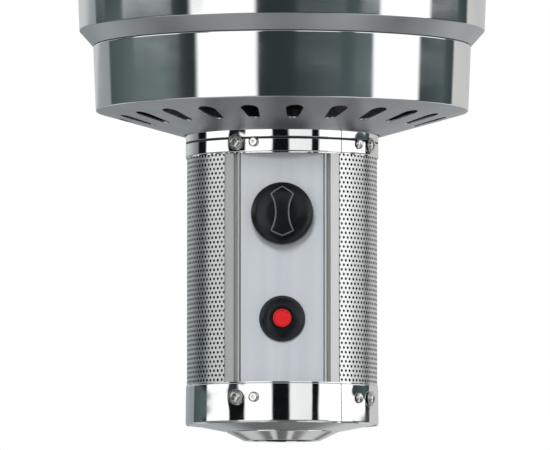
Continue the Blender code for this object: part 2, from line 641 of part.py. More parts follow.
def build_valve():
    """Gas cock behind the panel: bracket, body, turning plug, sliding stem and the knob."""
    wide = BRACKET_HALF_WIDTH
    tall = BRACKET_HALF_HEIGHT
    outline = [(-wide, -tall), (wide, -tall), (wide, tall), (-wide, tall)]
    bracket = plate("valve_bracket", [outline, circle(PLUG_RADIUS)], BRACKET_THICKNESS, PLATED)
    face_forward(bracket, BRACKET_FRONT - BRACKET_THICKNESS, KNOB_HEIGHT)

    body = cube(
        "valve_body",
        (-VALVE_HALF_WIDTH, -VALVE_FRONT, KNOB_HEIGHT - VALVE_HALF_HEIGHT),
        (VALVE_HALF_WIDTH, VALVE_DEPTH - VALVE_FRONT, KNOB_HEIGHT + VALVE_HALF_HEIGHT),
        BRASS,
        bevel=2 * MM,
    )
    ports = bmesh.new()
    cylinder(ports, PORT_RADIUS, PORT_TOP - PORT_LOW, Matrix.Translation((0, -PORT_DEPTH, PORT_LOW)))
    cut(body, mesh_object("valve_ports", ports, None, CUTTERS), "UNION")
    bores = bmesh.new()
    bore_length = PLUG_LENGTH + 2 * MM
    plug_bore = radial_matrix(0, PLUG_FRONT - bore_length, KNOB_HEIGHT)
    cylinder(bores, PLUG_RADIUS + PLUG_FIT, bore_length + 5 * MM, plug_bore, 2 * SMALL_SIDES)
    cut(body, mesh_object("valve_plug_bore", bores, None, CUTTERS))
    passage = bmesh.new()
    past_port = 2 * MM
    passage_low = Matrix.Translation((0, -PORT_DEPTH, PORT_LOW - past_port))
    cylinder(passage, PORT_BORE, PORT_TOP - PORT_LOW + 2 * past_port, passage_low)
    cut(body, mesh_object("valve_passage", passage, None, CUTTERS))

    socket_end = -PLUG_SOCKET
    plug = turned(
        "valve_plug",
        [
            (0, socket_end),
            (STEM_RADIUS + STEM_FIT, socket_end),
            (STEM_RADIUS + STEM_FIT, 0),
            (PLUG_RADIUS, 0),
            (PLUG_RADIUS, -PLUG_LENGTH),
            (0, -PLUG_LENGTH),
        ],
        BRASS,
        sides=24,
    )
    face_forward(plug, PLUG_FRONT, KNOB_HEIGHT)
    across = bmesh.new()
    sideways = Matrix.Rotation(math.radians(90), 4, "Y")
    start = Vector((-2 * PLUG_RADIUS, -PORT_DEPTH, KNOB_HEIGHT))
    cylinder(across, PORT_BORE * 0.8, 4 * PLUG_RADIUS, Matrix.Translation(start) @ sideways)
    cut(plug, mesh_object("plug_passage", across, None, CUTTERS))

    stem_back = PLUG_FRONT - PLUG_SOCKET + KNOB_TRAVEL + STOP_CLEARANCE + 0.2 * MM
    stem_length = KNOB_BACK + STEM_IN_KNOB - stem_back
    stem = turned(
        "valve_stem",
        [(0, stem_length), (STEM_RADIUS, stem_length), (STEM_RADIUS, 0), (0, 0)],
        PLATED,
        sides=SMALL_SIDES,
    )
    face_forward(stem, stem_back, KNOB_HEIGHT)

    knob = turned(
        "control_knob",
        [
            (0, KNOB_DEPTH),
            (15 * MM, KNOB_DEPTH - 0.3 * MM),
            (20.5 * MM, KNOB_DEPTH - 2.2 * MM),
            (22.6 * MM, KNOB_SKIRT + 1 * MM),
            (KNOB_RADIUS, KNOB_SKIRT),
            (KNOB_RADIUS, 0),
            (STEM_RADIUS + STEM_FIT, 0),
            (STEM_RADIUS + STEM_FIT, STEM_IN_KNOB + GAP),
            (0, STEM_IN_KNOB + GAP),
        ],
        BLACK,
        sides=40,
    )
    face_forward(knob, KNOB_BACK, KNOB_HEIGHT)
    scoops = bmesh.new()
    for side in (-1, 1):
        middle = Vector((side * (KNOB_SCOOP_RADIUS + KNOB_WAIST), -KNOB_BACK - KNOB_SKIRT, KNOB_HEIGHT))
        lean = Matrix.Rotation(math.radians(90), 4, "X")
        cylinder(scoops, KNOB_SCOOP_RADIUS, 2 * KNOB_DEPTH, Matrix.Translation(middle) @ lean, 32)
    cut(knob, mesh_object("knob_scoops", scoops, None, CUTTERS))

    width, depth, height = SWITCH_SIZE
    switch_x = VALVE_HALF_WIDTH + 2 * MM
    low = (switch_x, SWITCH_SET_BACK - VALVE_FRONT, KNOB_HEIGHT - height / 2)
    cube("tilt_switch", low, (low[0] + width, low[1] + depth, low[2] + height), BLACK, bevel=1 * MM)


def build_igniter():
    """Push-button piezo igniter: bezel, button, body, its nut and the lead's terminal."""
    bezel = turned(
        "igniter_bezel",
        [
            (BUTTON_RADIUS + BUTTON_FIT, BEZEL_DEPTH),
            (10.5 * MM, BEZEL_DEPTH),
            (14.5 * MM, BEZEL_DEPTH - 1.6 * MM),
            (17 * MM, BEZEL_DEPTH - 4.8 * MM),
            (BEZEL_RADIUS, GAP),
            (IGNITER_RADIUS + GAP, GAP),
            (IGNITER_RADIUS + GAP, IGNITER_FRONT + GAP),
            (BUTTON_RADIUS + BUTTON_FIT, IGNITER_FRONT + GAP),
        ],
        BLACK,
        closed=True,
        sides=32,
    )
    face_forward(bezel, PANEL_FRONT, IGNITER_HEIGHT)
    button_front = PANEL_FRONT + BEZEL_DEPTH + BUTTON_PROUD
    button = turned(
        "igniter_button",
        [
            (0, BUTTON_LENGTH),
            (BUTTON_RADIUS - 1 * MM, BUTTON_LENGTH),
            (BUTTON_RADIUS, BUTTON_LENGTH - 0.8 * MM),
            (BUTTON_RADIUS, 0),
            (0, 0),
        ],
        RED,
        sides=24,
    )
    button_back = button_front - BUTTON_LENGTH
    face_forward(button, button_back, IGNITER_HEIGHT)
    bore_end = button_back - BUTTON_TRAVEL - STOP_CLEARANCE - IGNITER_BACK
    terminal = 2 * MM
    body = turned(
        "igniter_body",
        [
            (0, bore_end),
            (BUTTON_RADIUS + BUTTON_FIT, bore_end),
            (BUTTON_RADIUS + BUTTON_FIT, IGNITER_LENGTH),
            (IGNITER_RADIUS, IGNITER_LENGTH),
            (IGNITER_RADIUS, 0),
            (1.5 * MM, 0),
            (1.5 * MM, -terminal),
            (0, -terminal),
        ],
        BLACK,
        sides=24,
    )
    face_forward(body, IGNITER_BACK, IGNITER_HEIGHT)
    hexagon = circle(NUT_RADIUS, 6)
    nut = plate("igniter_nut", [hexagon, circle(IGNITER_RADIUS + GAP, 24)], NUT_THICKNESS, BLACK)
    face_forward(nut, PANEL_BACK - GAP - NUT_THICKNESS, IGNITER_HEIGHT)
    return IGNITER_BACK - terminal - GAP


def build_gas_line():
    """Inlet fitting over the hub, pipe to the cock, pipe to the injector, and the mixing tube."""
    fitting = turned(
        "inlet_fitting",
        [
            (INLET_RADIUS * 0.6, INLET_LENGTH),
            (INLET_RADIUS * 0.6, INLET_LENGTH * 0.75),
            (INLET_RADIUS, INLET_LENGTH * 0.7),
            (INLET_RADIUS, INLET_LENGTH * 0.35),
            (INLET_RADIUS * 0.8, INLET_LENGTH * 0.3),
            (INLET_RADIUS * 0.8, 0),
            (PORT_BORE, 0),
            (PORT_BORE, INLET_LENGTH),
        ],
        BRASS,
        closed=True,
        sides=SMALL_SIDES,
    )
    fitting.location.z = INLET_LOW
    pipe_low = INLET_LOW + INLET_LENGTH + GAP
    cock_low = PORT_LOW - GAP
    pull = 22 * MM
    inlet = bend(
        (0, 0, pipe_low),
        (0, 0, pipe_low + pull),
        (0, -PORT_DEPTH, cock_low - pull),
        (0, -PORT_DEPTH, cock_low),
    )
    tube("inlet_pipe", inlet, PIPE_RADIUS, COPPER)
    cock_top = PORT_TOP + GAP
    pipe_top = INJECTOR_LOW - GAP
    pull = 18 * MM
    outlet = bend(
        (0, -PORT_DEPTH, cock_top),
        (0, -PORT_DEPTH, cock_top + pull),
        (0, 0, pipe_top - pull),
        (0, 0, pipe_top),
    )
    tube("outlet_tube", outlet, PIPE_RADIUS, COPPER)
    orifice = 1 * MM
    injector = turned(
        "injector",
        [
            (INJECTOR_NECK, INJECTOR_LENGTH),
            (INJECTOR_NECK, INJECTOR_HEX),
            (INJECTOR_RADIUS, INJECTOR_HEX),
            (INJECTOR_RADIUS, 0),
            (orifice, 0),
            (orifice, INJECTOR_LENGTH),
        ],
        BRASS,
        closed=True,
        sides=SMALL_SIDES,
    )
    injector.location.z = INJECTOR_LOW
    mixing = turned(
        "mixing_tube",
        [
            (MIXING_RADIUS, MIXING_LENGTH),
            (MIXING_RADIUS, MIXING_LENGTH * 0.55),
            (MIXING_THROAT, MIXING_LENGTH * 0.4),
            (MIXING_THROAT, MIXING_LENGTH * 0.32),
            (MIXING_RADIUS, MIXING_LENGTH * 0.2),
            (MIXING_RADIUS, 0),
            (INJECTOR_NECK + GAP, 0),
        ],
        HEATPROOF,
        wall=MIXING_WALL,
        sides=24,
    )
    mixing.location.z = MIXING_LOW
    windows = bmesh.new()
    low = MIXING_LOW + 4 * MM
    for turn in (0, 90):
        spin = Matrix.Rotation(math.radians(turn), 4, "Z")
        size = Matrix.Diagonal((4 * MIXING_RADIUS, AIR_WINDOW, AIR_WINDOW, 1))
        place = Matrix.Translation((0, 0, low + AIR_WINDOW / 2))
        bmesh.ops.create_cube(windows, size=1, matrix=place @ spin @ size)
    cut(mixing, mesh_object("air_windows", windows, None, CUTTERS))


def tapered_slot(inner, outer, steps=4):
    """Outline of a slot with round ends of two sizes. Each end is (distance, radius)."""
    lean = math.degrees(math.asin((outer[1] - inner[1]) / (outer[0] - inner[0])))
    outline = []
    for (distance, radius), start, end in ((outer, -90 - lean, 90 + lean), (inner, 90 + lean, 270 - lean)):
        for step in range(steps + 1):
            turn = math.radians(start + (end - start) * step / steps)
            outline.append((distance + radius * math.cos(turn), radius * math.sin(turn)))
    return outline


def vent_cutter():
    """The ring of slots that let air in through the pan's underside."""
    vents = bmesh.new()
    for number in range(VENTS):
        turn = math.radians(VENT_PHASE + 360 * number / VENTS - 90)
        spin = Matrix.Rotation(turn, 4, "Z")
        corners = [spin @ Vector((x, y, PAN_FLOOR)) for x, y in tapered_slot(VENT_INNER, VENT_OUTER)]
        face = vents.faces.new([vents.verts.new(corner) for corner in corners])
        side = bmesh.ops.extrude_face_region(vents, geom=[face])["geom"]
        top = [item for item in side if isinstance(item, bmesh.types.BMVert)]
        bmesh.ops.translate(vents, verts=top, vec=(0, 0, PAN_LOWER_EDGE - PAN_FLOOR))
    bmesh.ops.recalc_face_normals(vents, faces=vents.faces)
    return mesh_object("pan_vents", vents, None, CUTTERS)


def build_pan():
    """Two spun pans, one on the other, the burner's deck and the heat shield below it."""
    lower = turned(
        "pan_lower",
        [
            (PAN_STEP_RADIUS - PAN_STEP_FLANGE, PAN_STEP),
            (PAN_STEP_RADIUS, PAN_STEP),
            (PAN_STEP_RADIUS - PAN_TAPER, PAN_LOWER_EDGE),
            (COLLAR_RADIUS, PAN_FLOOR),
            (COLLAR_RADIUS, PAN_FLANGE_LOW),
            (COLLAR_RADIUS - PAN_FLANGE, PAN_FLANGE_LOW),
        ],
        CHROME,
        wall=PAN_WALL,
    )
    cut(lower, vent_cutter())
    turned(
        "pan_upper",
        [
            (PAN_UPPER_RADIUS - PAN_RIM_LIP, PAN_RIM),
            (PAN_UPPER_RADIUS, PAN_RIM),
            (PAN_UPPER_RADIUS - PAN_TAPER, PAN_UPPER_LOW + PAN_CHAMFER),
            (PAN_STEP_RADIUS + GAP, PAN_UPPER_LOW),
            (PAN_STEP_RADIUS - PAN_STEP_FLANGE + 2 * MM, PAN_UPPER_LOW),
        ],
        CHROME,
        wall=PAN_WALL,
    )
    tube_hole = MIXING_RADIUS + MIXING_FIT
    window_back = PILOT_DISTANCE + 14 * MM
    window = cube(
        "line_window",
        (-LINE_WINDOW, -window_back, SHIELD_FLOOR - 5 * MM),
        (LINE_WINDOW, 4 * MM - PILOT_DISTANCE, SEAT),
        None,
        CUTTERS,
    )
    deck = turned(
        "burner_deck",
        [(DECK_RADIUS, DECK_TOP), (DECK_RADIUS, DECK_LOW), (tube_hole, DECK_LOW), (tube_hole, DECK_TOP)],
        HEATPROOF,
        closed=True,
    )
    cut(deck, window)
    shield_window = cube(
        "shield_window",
        (-LINE_WINDOW, -window_back, SHIELD_FLOOR - 5 * MM),
        (LINE_WINDOW, 12 * MM - PILOT_DISTANCE, SHIELD_FLOOR + 5 * MM),
        None,
        CUTTERS,
    )
    shield = turned(
        "heat_shield",
        [
            (SHIELD_RADIUS + SHIELD_FLANGE, SHIELD_FLANGE_LOW),
            (SHIELD_RADIUS + 1.5 * MM, SHIELD_FLANGE_LOW),
            (SHIELD_RADIUS, SHIELD_FLOOR),
            (tube_hole, SHIELD_FLOOR),
        ],
        HEATPROOF,
        wall=PAN_WALL,
    )
    cut(shield, shield_window)
    turned(
        "burner_head",
        [
            (0, BURNER_HEIGHT),
            (BURNER_RADIUS - 5 * MM, BURNER_HEIGHT),
            (BURNER_RADIUS, BURNER_HEIGHT - 4 * MM),
            (BURNER_RADIUS, 0),
            (tube_hole, 0),
        ],
        HEATPROOF,
        wall=MIXING_WALL,
    ).location.z = SEAT


def build_pilot(igniter_end):
    """Pilot burner, thermocouple and spark electrode on one bracket, with their lines."""
    shelf = SEAT + PILOT_SHELF
    step = PILOT_DISTANCE - 7 * MM
    foot = 9 * MM
    sheet = DECK_THICKNESS
    front = PILOT_SHELF_DEPTH
    section = [
        (-step, SEAT),
        (foot - step, SEAT),
        (foot - step, SEAT + sheet),
        (sheet - step, SEAT + sheet),
        (sheet - step, shelf + sheet),
        (-step - front, shelf + sheet),
        (-step - front, shelf),
        (-step, shelf),
    ]
    width = 2 * (PILOT_SPACING + 8 * MM)
    bracket = plate("pilot_bracket", [section], width, PLATED)
    bracket.matrix_world = Matrix(((0, 0, 1, -width / 2), (1, 0, 0, 0), (0, 1, 0, 0), (0, 0, 0, 1)))

    def on_shelf(x):
        return (x, -PILOT_DISTANCE, 0)

    burner_radius = 4 * MM
    ceramic_radius = 3 * MM
    probe_radius = 1.6 * MM
    holes = bmesh.new()
    radii = {-PILOT_SPACING: burner_radius, 0: probe_radius, PILOT_SPACING: ceramic_radius}
    for x, radius in radii.items():
        place = Matrix.Translation(Vector(on_shelf(x)) + Vector((0, 0, shelf - 2 * MM)))
        cylinder(holes, radius + GAP, 3 * sheet + 2 * MM, place)
    cut(bracket, mesh_object("pilot_holes", holes, None, CUTTERS))
    low = shelf - 2 * MM
    pilot = turned(
        "pilot_burner",
        [
            (0, 20 * MM),
            (3.2 * MM, 20 * MM),
            (burner_radius, 17 * MM),
            (burner_radius, 0),
            (0, 0),
        ],
        BRASS,
        sides=SMALL_SIDES,
    )
    pilot.location = (*on_shelf(-PILOT_SPACING)[:2], low)
    electrode = turned(
        "spark_electrode",
        [
            (0, 28 * MM),
            (0.8 * MM, 28 * MM),
            (0.8 * MM, 18 * MM),
            (2.2 * MM, 17 * MM),
            (ceramic_radius, 14 * MM),
            (ceramic_radius, 0),
            (0, 0),
        ],
        CERAMIC,
        sides=SMALL_SIDES,
    )
    electrode.location = (*on_shelf(PILOT_SPACING)[:2], low)
    probe = turned(
        "thermocouple",
        [(0, 34 * MM), (1 * MM, 33.6 * MM), (probe_radius, 32 * MM), (probe_radius, 0), (0, 0)],
        PLATED,
        sides=SMALL_SIDES,
    )
    probe.location = (*on_shelf(0)[:2], low)

    valve_top = KNOB_HEIGHT + VALVE_HALF_HEIGHT + GAP
    line_end = low - GAP
    for name, foot_x, head_x, radius in (
        ("pilot_tube", -PILOT_OUTLET_SIDE, -PILOT_SPACING, PILOT_TUBE_RADIUS),
        ("thermocouple_lead", 0, 0, LEAD_RADIUS),
    ):
        head = on_shelf(head_x)
        line = bend(
            (foot_x, -LINE_DEPTH, valve_top),
            (foot_x, -LINE_DEPTH, valve_top + LINE_RISE),
            (head[0], head[1], line_end - LINE_RUN_IN),
            (head[0], head[1], line_end),
            steps=14,
        )
        tube(name, line, radius, COPPER)
    side_x = VALVE_HALF_WIDTH + 10 * MM
    lead = smooth_route(
        [
            (0, -igniter_end, IGNITER_HEIGHT),
            (0, -igniter_end + 7 * MM, IGNITER_HEIGHT),
            (10 * MM, -igniter_end + 11 * MM, IGNITER_HEIGHT + 9 * MM),
            (side_x, -24 * MM, IGNITER_HEIGHT + 36 * MM),
            (side_x + 1 * MM, -30 * MM, KNOB_HEIGHT),
            (side_x, -34 * MM, KNOB_HEIGHT + 36 * MM),
            (side_x - 4 * MM, -48 * MM, PAN_FLANGE_LOW),
            (16 * MM, -66 * MM, PAN_FLANGE_LOW + 22 * MM),
            (PILOT_SPACING, -PILOT_DISTANCE, SHIELD_FLOOR),
            (PILOT_SPACING, -PILOT_DISTANCE, line_end - 8 * MM),
            (PILOT_SPACING, -PILOT_DISTANCE, line_end),
        ]
    )
    tube("ignition_lead", lead, LEAD_RADIUS, SLEEVE)


def build_emitter():
    """Screen that glows round the flame, its cap, and the reflector on three standoffs."""
    inside = EMITTER_RADIUS - EMITTER_WALL
    turned(
        "emitter_screen",
        [(EMITTER_RADIUS, EMITTER_TOP), (EMITTER_RADIUS, SEAT), (inside, SEAT), (inside, EMITTER_TOP)],
        HEATPROOF,
        closed=True,
    )
    edge = EMITTER_RADIUS + CAP_OVERHANG
    cap = turned(
        "emitter_cap",
        [(0, CAP_TOP), (edge - 1 * MM, CAP_TOP), (edge, CAP_TOP - 1 * MM), (edge, CAP_TOP - CAP_RIM)],
        HEATPROOF,
        wall=EMITTER_WALL,
    )
    rim_radius = REFLECTOR_RADIUS - REFLECTOR_ROLL
    dome = []
    steps = 6
    for step in range(steps + 1):
        share = step / steps
        radius = REFLECTOR_FLAT + (rim_radius - REFLECTOR_FLAT) * share
        dome.append((radius, REFLECTOR_TOP - REFLECTOR_DROP * share**1.35))
    rim = REFLECTOR_TOP - REFLECTOR_DROP
    roll = REFLECTOR_ROLL
    rolled = [
        (rim_radius + 0.75 * roll, rim - 0.6 * roll),
        (REFLECTOR_RADIUS, rim - 1.2 * roll),
        (rim_radius + 0.75 * roll, rim - 1.7 * roll),
        (rim_radius + 0.3 * roll, rim - 1.8 * roll),
    ]
    outline = [(0, REFLECTOR_TOP), *dome, *rolled]
    reflector = turned("reflector", outline, BRUSHED, wall=REFLECTOR_WALL)

    stand_low = CAP_TOP + GAP
    stand_top = REFLECTOR_TOP - REFLECTOR_WALL - GAP
    stud_top = REFLECTOR_TOP + STANDOFF_STUD_LENGTH
    holes = bmesh.new()
    for number in range(STANDOFFS):
        x, y, _ = ring_place(60 + 360 * number / STANDOFFS, STANDOFF_CIRCLE)
        low = stand_low - STANDOFF_STUD_LENGTH
        hole_low = Matrix.Translation((x, y, low - 2 * MM))
        cylinder(holes, STANDOFF_STUD + SCREW_CLEARANCE, stud_top - low + 4 * MM, hole_low)
        standoff = turned(
            f"reflector_standoff_{number + 1}",
            [
                (0, stud_top - low),
                (STANDOFF_STUD, stud_top - low),
                (STANDOFF_STUD, stand_top - low),
                (STANDOFF_RADIUS, stand_top - low),
                (STANDOFF_RADIUS, stand_low - low),
                (STANDOFF_STUD, stand_low - low),
                (STANDOFF_STUD, 0),
                (0, 0),
            ],
            PLATED,
            sides=SMALL_SIDES,
        )
        standoff.location = (x, y, low)
        thread = STANDOFF_STUD_LENGTH
        nut = turned(
            f"dome_nut_{number + 1}",
            [
                (0, NUT_HEIGHT),
                (DOME_NUT_RADIUS * 0.55, NUT_HEIGHT - 0.6 * MM),
                (DOME_NUT_RADIUS * 0.85, NUT_HEIGHT * 0.72),
                (DOME_NUT_RADIUS, NUT_HEIGHT * 0.5),
                (DOME_NUT_RADIUS, 0),
                (STANDOFF_STUD + GAP, 0),
                (STANDOFF_STUD + GAP, thread),
                (0, thread),
            ],
            CHROME,
            sides=SMALL_SIDES,
        )
        nut.location = (x, y, REFLECTOR_TOP + GAP)
    cutter = mesh_object("standoff_holes", holes, None, CUTTERS)
    cut(cap, cutter)
    cut(reflector, cutter)


empty_scene()
PARTS = new_collection("patio_heater_head")
CUTTERS = new_collection("cutters")
BAND_HOLES = band_screw_cutter()
build_hub()
build_bands(BAND_HOLES)
build_guard(BAND_HOLES)
build_panel(BAND_HOLES)
build_valve()
LEAD_START = build_igniter()
build_gas_line()
build_pan()
build_pilot(LEAD_START)
build_emitter()
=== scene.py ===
"""Looks of the patio heater head: polished pans and bands, perforated guard, panel and reflector."""

import math

import bmesh
import bpy
from mathutils import Matrix, Vector


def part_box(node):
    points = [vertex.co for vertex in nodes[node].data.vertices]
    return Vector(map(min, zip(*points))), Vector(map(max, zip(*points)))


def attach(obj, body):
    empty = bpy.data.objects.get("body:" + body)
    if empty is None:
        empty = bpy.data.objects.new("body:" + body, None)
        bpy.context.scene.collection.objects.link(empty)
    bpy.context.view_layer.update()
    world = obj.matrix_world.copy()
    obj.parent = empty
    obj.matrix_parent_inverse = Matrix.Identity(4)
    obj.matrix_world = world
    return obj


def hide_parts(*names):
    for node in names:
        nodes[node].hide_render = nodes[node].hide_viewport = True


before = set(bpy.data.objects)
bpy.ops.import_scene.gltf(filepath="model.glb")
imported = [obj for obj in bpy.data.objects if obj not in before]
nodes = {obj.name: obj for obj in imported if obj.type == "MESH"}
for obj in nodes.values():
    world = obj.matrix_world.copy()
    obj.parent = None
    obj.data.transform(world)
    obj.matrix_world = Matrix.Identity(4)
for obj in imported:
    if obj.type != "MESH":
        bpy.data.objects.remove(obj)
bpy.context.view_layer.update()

# ---------------------------------------------------------------------------------------------
# Camera: it stands nearly six metres in front of the column, below the knob, and looks up by
# under four degrees through a long lens, so upright lines stay upright.

MM = 0.001
CAMERA_DISTANCE = 5800 * MM
CAMERA_BELOW = math.radians(3.67)
VIEW_CENTRE = Vector((-5.5, 0, 168.5)) * MM
LENS = 486.7

camera_data = bpy.data.cameras.new("camera")
camera_data.lens = LENS
camera_data.sensor_width = 36
camera_data.clip_end = 100
camera = bpy.data.objects.new("camera", camera_data)
bpy.context.scene.collection.objects.link(camera)
away = Vector((0, -math.cos(CAMERA_BELOW), -math.sin(CAMERA_BELOW)))
camera.location = VIEW_CENTRE + away * CAMERA_DISTANCE
camera.rotation_euler = (math.radians(90) + CAMERA_BELOW, 0, 0)
bpy.context.scene.camera = camera
bpy.context.scene.view_settings.view_transform = "Standard"

# ---------------------------------------------------------------------------------------------
# Studio: tall white panels and black screens stand round the heater, so that polished steel
# shows upright bands. The low screens are what the pan's leaning walls mirror, and the high
# ones what the upright column mirrors. A grey ceiling and a streaked ground close the room.
# Bearings are in degrees from the front towards +X, and the low screens end at an elevation
# that grows with the bearing.

LOW_SCREENS = (
    (-180, "8E9496"), (-132, "868D90"), (-130.5, "3F4A48"), (-105, "576361"),
    (-78, "586564"), (-64, "38403F"), (-54, "1E2122"), (-52.5, "FFFFFF"),
    (-16, "FFFFFF"), (-14.5, "2A3030"), (5, "2C3534"), (28, "3C4648"),
    (56.5, "4E5A5C"), (58, "FFFFFF"), (92, "FFFFFF"), (93.5, "2A3334"),
    (116, "465152"), (129, "363E40"), (130.5, "BFBEBC"), (180, "A6A8A9"),
)
HIGH_SCREENS = (
    (-180, "A6A8A9"), (-150, "B4B7B8"), (-121, "707576"), (-119, "0A0D0E"),
    (-103, "0D1010"), (-102, "FFFFFF"), (-66, "FFFFFF"), (-65, "0F1212"),
    (-45.5, "0A0D0E"), (-44.5, "FFFFFF"), (-13, "FFFFFF"), (-12, "0C1010"),
    (8, "0C1010"), (9, "E9ECEB"), (35.5, "E2E6E5"), (36.5, "0D1010"),
    (44.5, "0D1010"), (45.5, "FFFFFF"), (118, "FFFFFF"), (119.5, "1B2020"),
    (130.5, "2E3435"), (132, "B6B7B6"), (180, "A6A8A9"),
)
SCREEN_RADIANCE = 1.55
BACKDROP_WHITE = 1.0
SCREEN_CHANGES = ((0, 2.05), (60, 2.05), (84, 2.4), (104, 2.95), (117, 3.35), (131, 3.85), (180, 3.95))
SCREEN_BLUR = math.radians(0.12)
GROUND_GREYS = (
    (0, 0.12), (30, 0.12), (42, 0.55), (80, 0.6),
    (92, 0.1), (118, 0.1), (128, 0.6), (160, 0.5),
    (165, 0.5), (167, 0.12), (171, 0.12), (172, 0.55),
    (175, 0.5), (176, 0.08), (180, 0.08),
)
GROUND_RISE = (-0.38, -0.28)  # sines of the elevations over which the ground ends
GROUND_SHARE = 0.85  # the rest is what the screens show
CEILING_RISE = (0.15, 0.5)  # sines of the elevations over which the ceiling begins
CEILING_GREY = (0.46, 0.47, 0.48, 1)


def linear(code):
    """Scene-linear colour of an sRGB hex value."""
    channels = [int(code[place : place + 2], 16) / 255 for place in (0, 2, 4)]
    return tuple(c / 12.92 if c <= 0.04045 else ((c + 0.055) / 1.055) ** 2.4 for c in channels)


def add(tree, kind, inputs=None, **settings):
    """Add a node, set what it has and join what feeds it."""
    node = tree.nodes.new(kind)
    for name, value in settings.items():
        setattr(node, name, value)
    for socket, value in (inputs or {}).items():
        if isinstance(value, bpy.types.NodeSocket):
            tree.links.new(value, node.inputs[socket])
        else:
            node.inputs[socket].default_value = value
    return node


def between(tree, value, low, high, start=0.3, end=0.7):
    """Spread a value between start and end over what lies between low and high."""
    inputs = {"Value": value, "From Min": start, "From Max": end, "To Min": low, "To Max": high}
    return add(tree, "ShaderNodeMapRange", inputs).outputs["Result"]


def mixed(tree, share, first, second):
    """Blend two colours by a share from 0 to 1."""
    inputs = {0: share, 6: first, 7: second}
    return add(tree, "ShaderNodeMix", data_type="RGBA", inputs=inputs).outputs[2]


def ramp(tree, factor, stops):
    """A colour ramp whose stops are (place, linear colour)."""
    node = add(tree, "ShaderNodeValToRGB", {"Fac": factor})
    elements = node.color_ramp.elements
    while len(elements) > 1:
        elements.remove(elements[-1])
    for number, (place, colour) in enumerate(stops):
        stop = elements[0] if number == 0 else elements.new(place)
        stop.position = place
        stop.color = (*colour, 1)
    return node.outputs["Color"]


world = bpy.data.worlds.new("studio")
bpy.context.scene.world = world
world.use_nodes = True
sky = world.node_tree
sky.nodes.clear()
direction = add(sky, "ShaderNodeTexCoord").outputs["Generated"]
parts = add(sky, "ShaderNodeSeparateXYZ", {"Vector": direction})
toward_front = add(sky, "ShaderNodeMath", {0: parts.outputs["Y"], 1: -1.0}, operation="MULTIPLY")
bearing = add(sky, "ShaderNodeMath", {0: parts.outputs["X"], 1: toward_front.outputs[0]}, operation="ARCTAN2")
turn_share = between(sky, bearing.outputs[0], 0, 1, -math.pi, math.pi)
bands = []
for screens in (LOW_SCREENS, HIGH_SCREENS):
    stops = [((angle + 180) / 360, linear(code)) for angle, code in screens]
    bands.append(ramp(sky, turn_share, stops))
half_turn = add(sky, "ShaderNodeMath", {0: bearing.outputs[0]}, operation="ABSOLUTE")
half_share = add(sky, "ShaderNodeMath", {0: half_turn.outputs[0], 1: math.pi}, operation="DIVIDE")
changes = [(side / 180, (math.radians(rise),) * 3) for side, rise in SCREEN_CHANGES]
change = ramp(sky, half_share.outputs[0], changes)
above = add(sky, "ShaderNodeMath", {0: parts.outputs["Z"], 1: change}, operation="SUBTRACT")
upper_share = between(sky, above.outputs[0], 0, 1, -SCREEN_BLUR, SCREEN_BLUR)
screen = mixed(sky, upper_share, *bands)
ceiling_share = between(sky, parts.outputs["Z"], 0, 1, *CEILING_RISE)
under_ceiling = mixed(sky, ceiling_share, screen, CEILING_GREY)
greys = [(side / 180, (grey,) * 3) for side, grey in GROUND_GREYS]
ground_grey = ramp(sky, half_share.outputs[0], greys)
ground_share = between(sky, parts.outputs["Z"], GROUND_SHARE, 0, *GROUND_RISE)
room = mixed(sky, ground_share, under_ceiling, ground_grey)
lit = add(sky, "ShaderNodeBackground", {"Color": room, "Strength": SCREEN_RADIANCE})
plain = add(sky, "ShaderNodeBackground", {"Color": (1, 1, 1, 1), "Strength": BACKDROP_WHITE})
seen = add(sky, "ShaderNodeLightPath").outputs["Is Camera Ray"]
both = add(sky, "ShaderNodeMixShader", {0: seen, 1: lit.outputs[0], 2: plain.outputs[0]})
add(sky, "ShaderNodeOutputWorld", {"Surface": both.outputs[0]})

# The key light is a large soft disc high on the left, in front: it casts the soft shadows that
# the knob and the igniter throw down the panel. The steel doesn't mirror it.
KEY_PLACE = Vector((-0.4, -3.1, 1.9))
KEY_SIZE = 0.9
KEY_POWER = 102
key_data = bpy.data.lights.new("key", "AREA")
key_data.shape = "DISK"
key_data.size = KEY_SIZE
key_data.energy = KEY_POWER
key = bpy.data.objects.new("key", key_data)
bpy.context.scene.collection.objects.link(key)
key.location = KEY_PLACE
key.rotation_euler = (VIEW_CENTRE - KEY_PLACE).to_track_quat("-Z", "Y").to_euler()
key.visible_glossy = False

# ---------------------------------------------------------------------------------------------
# Floor: plain pale paper where the heater's base would stand, a pole's height below the head.
# The steel mirrors the studio's streaked ground and not the paper.

FLOOR_DROP = 1950 * MM
FLOOR_RADIUS = 4500 * MM


def new_finish(name):
    """A material of its own, with the tree and the shader that its pattern feeds."""
    material = bpy.data.materials.new(name)
    material.use_nodes = True
    tree = material.node_tree
    return material, tree, tree.nodes["Principled BSDF"]


def noise(tree, scale, stretch=(1, 1, 1), detail=4.0, roughness=0.55):
    """Noise on the object's own coordinates. Scale is in features to the metre."""
    place = add(tree, "ShaderNodeTexCoord").outputs["Object"]
    spread = add(tree, "ShaderNodeMapping", {"Vector": place, "Scale": stretch})
    inputs = {"Vector": spread.outputs[0], "Scale": scale, "Detail": detail, "Roughness": roughness}
    return add(tree, "ShaderNodeTexNoise", inputs).outputs["Fac"]


def tint(tree, value, first, second):
    """Blend two hex colours by a value from 0 to 1."""
    return mixed(tree, value, (*linear(first), 1), (*linear(second), 1))


def bump(tree, height, distance):
    return add(tree, "ShaderNodeBump", {"Height": height, "Distance": distance}).outputs["Normal"]


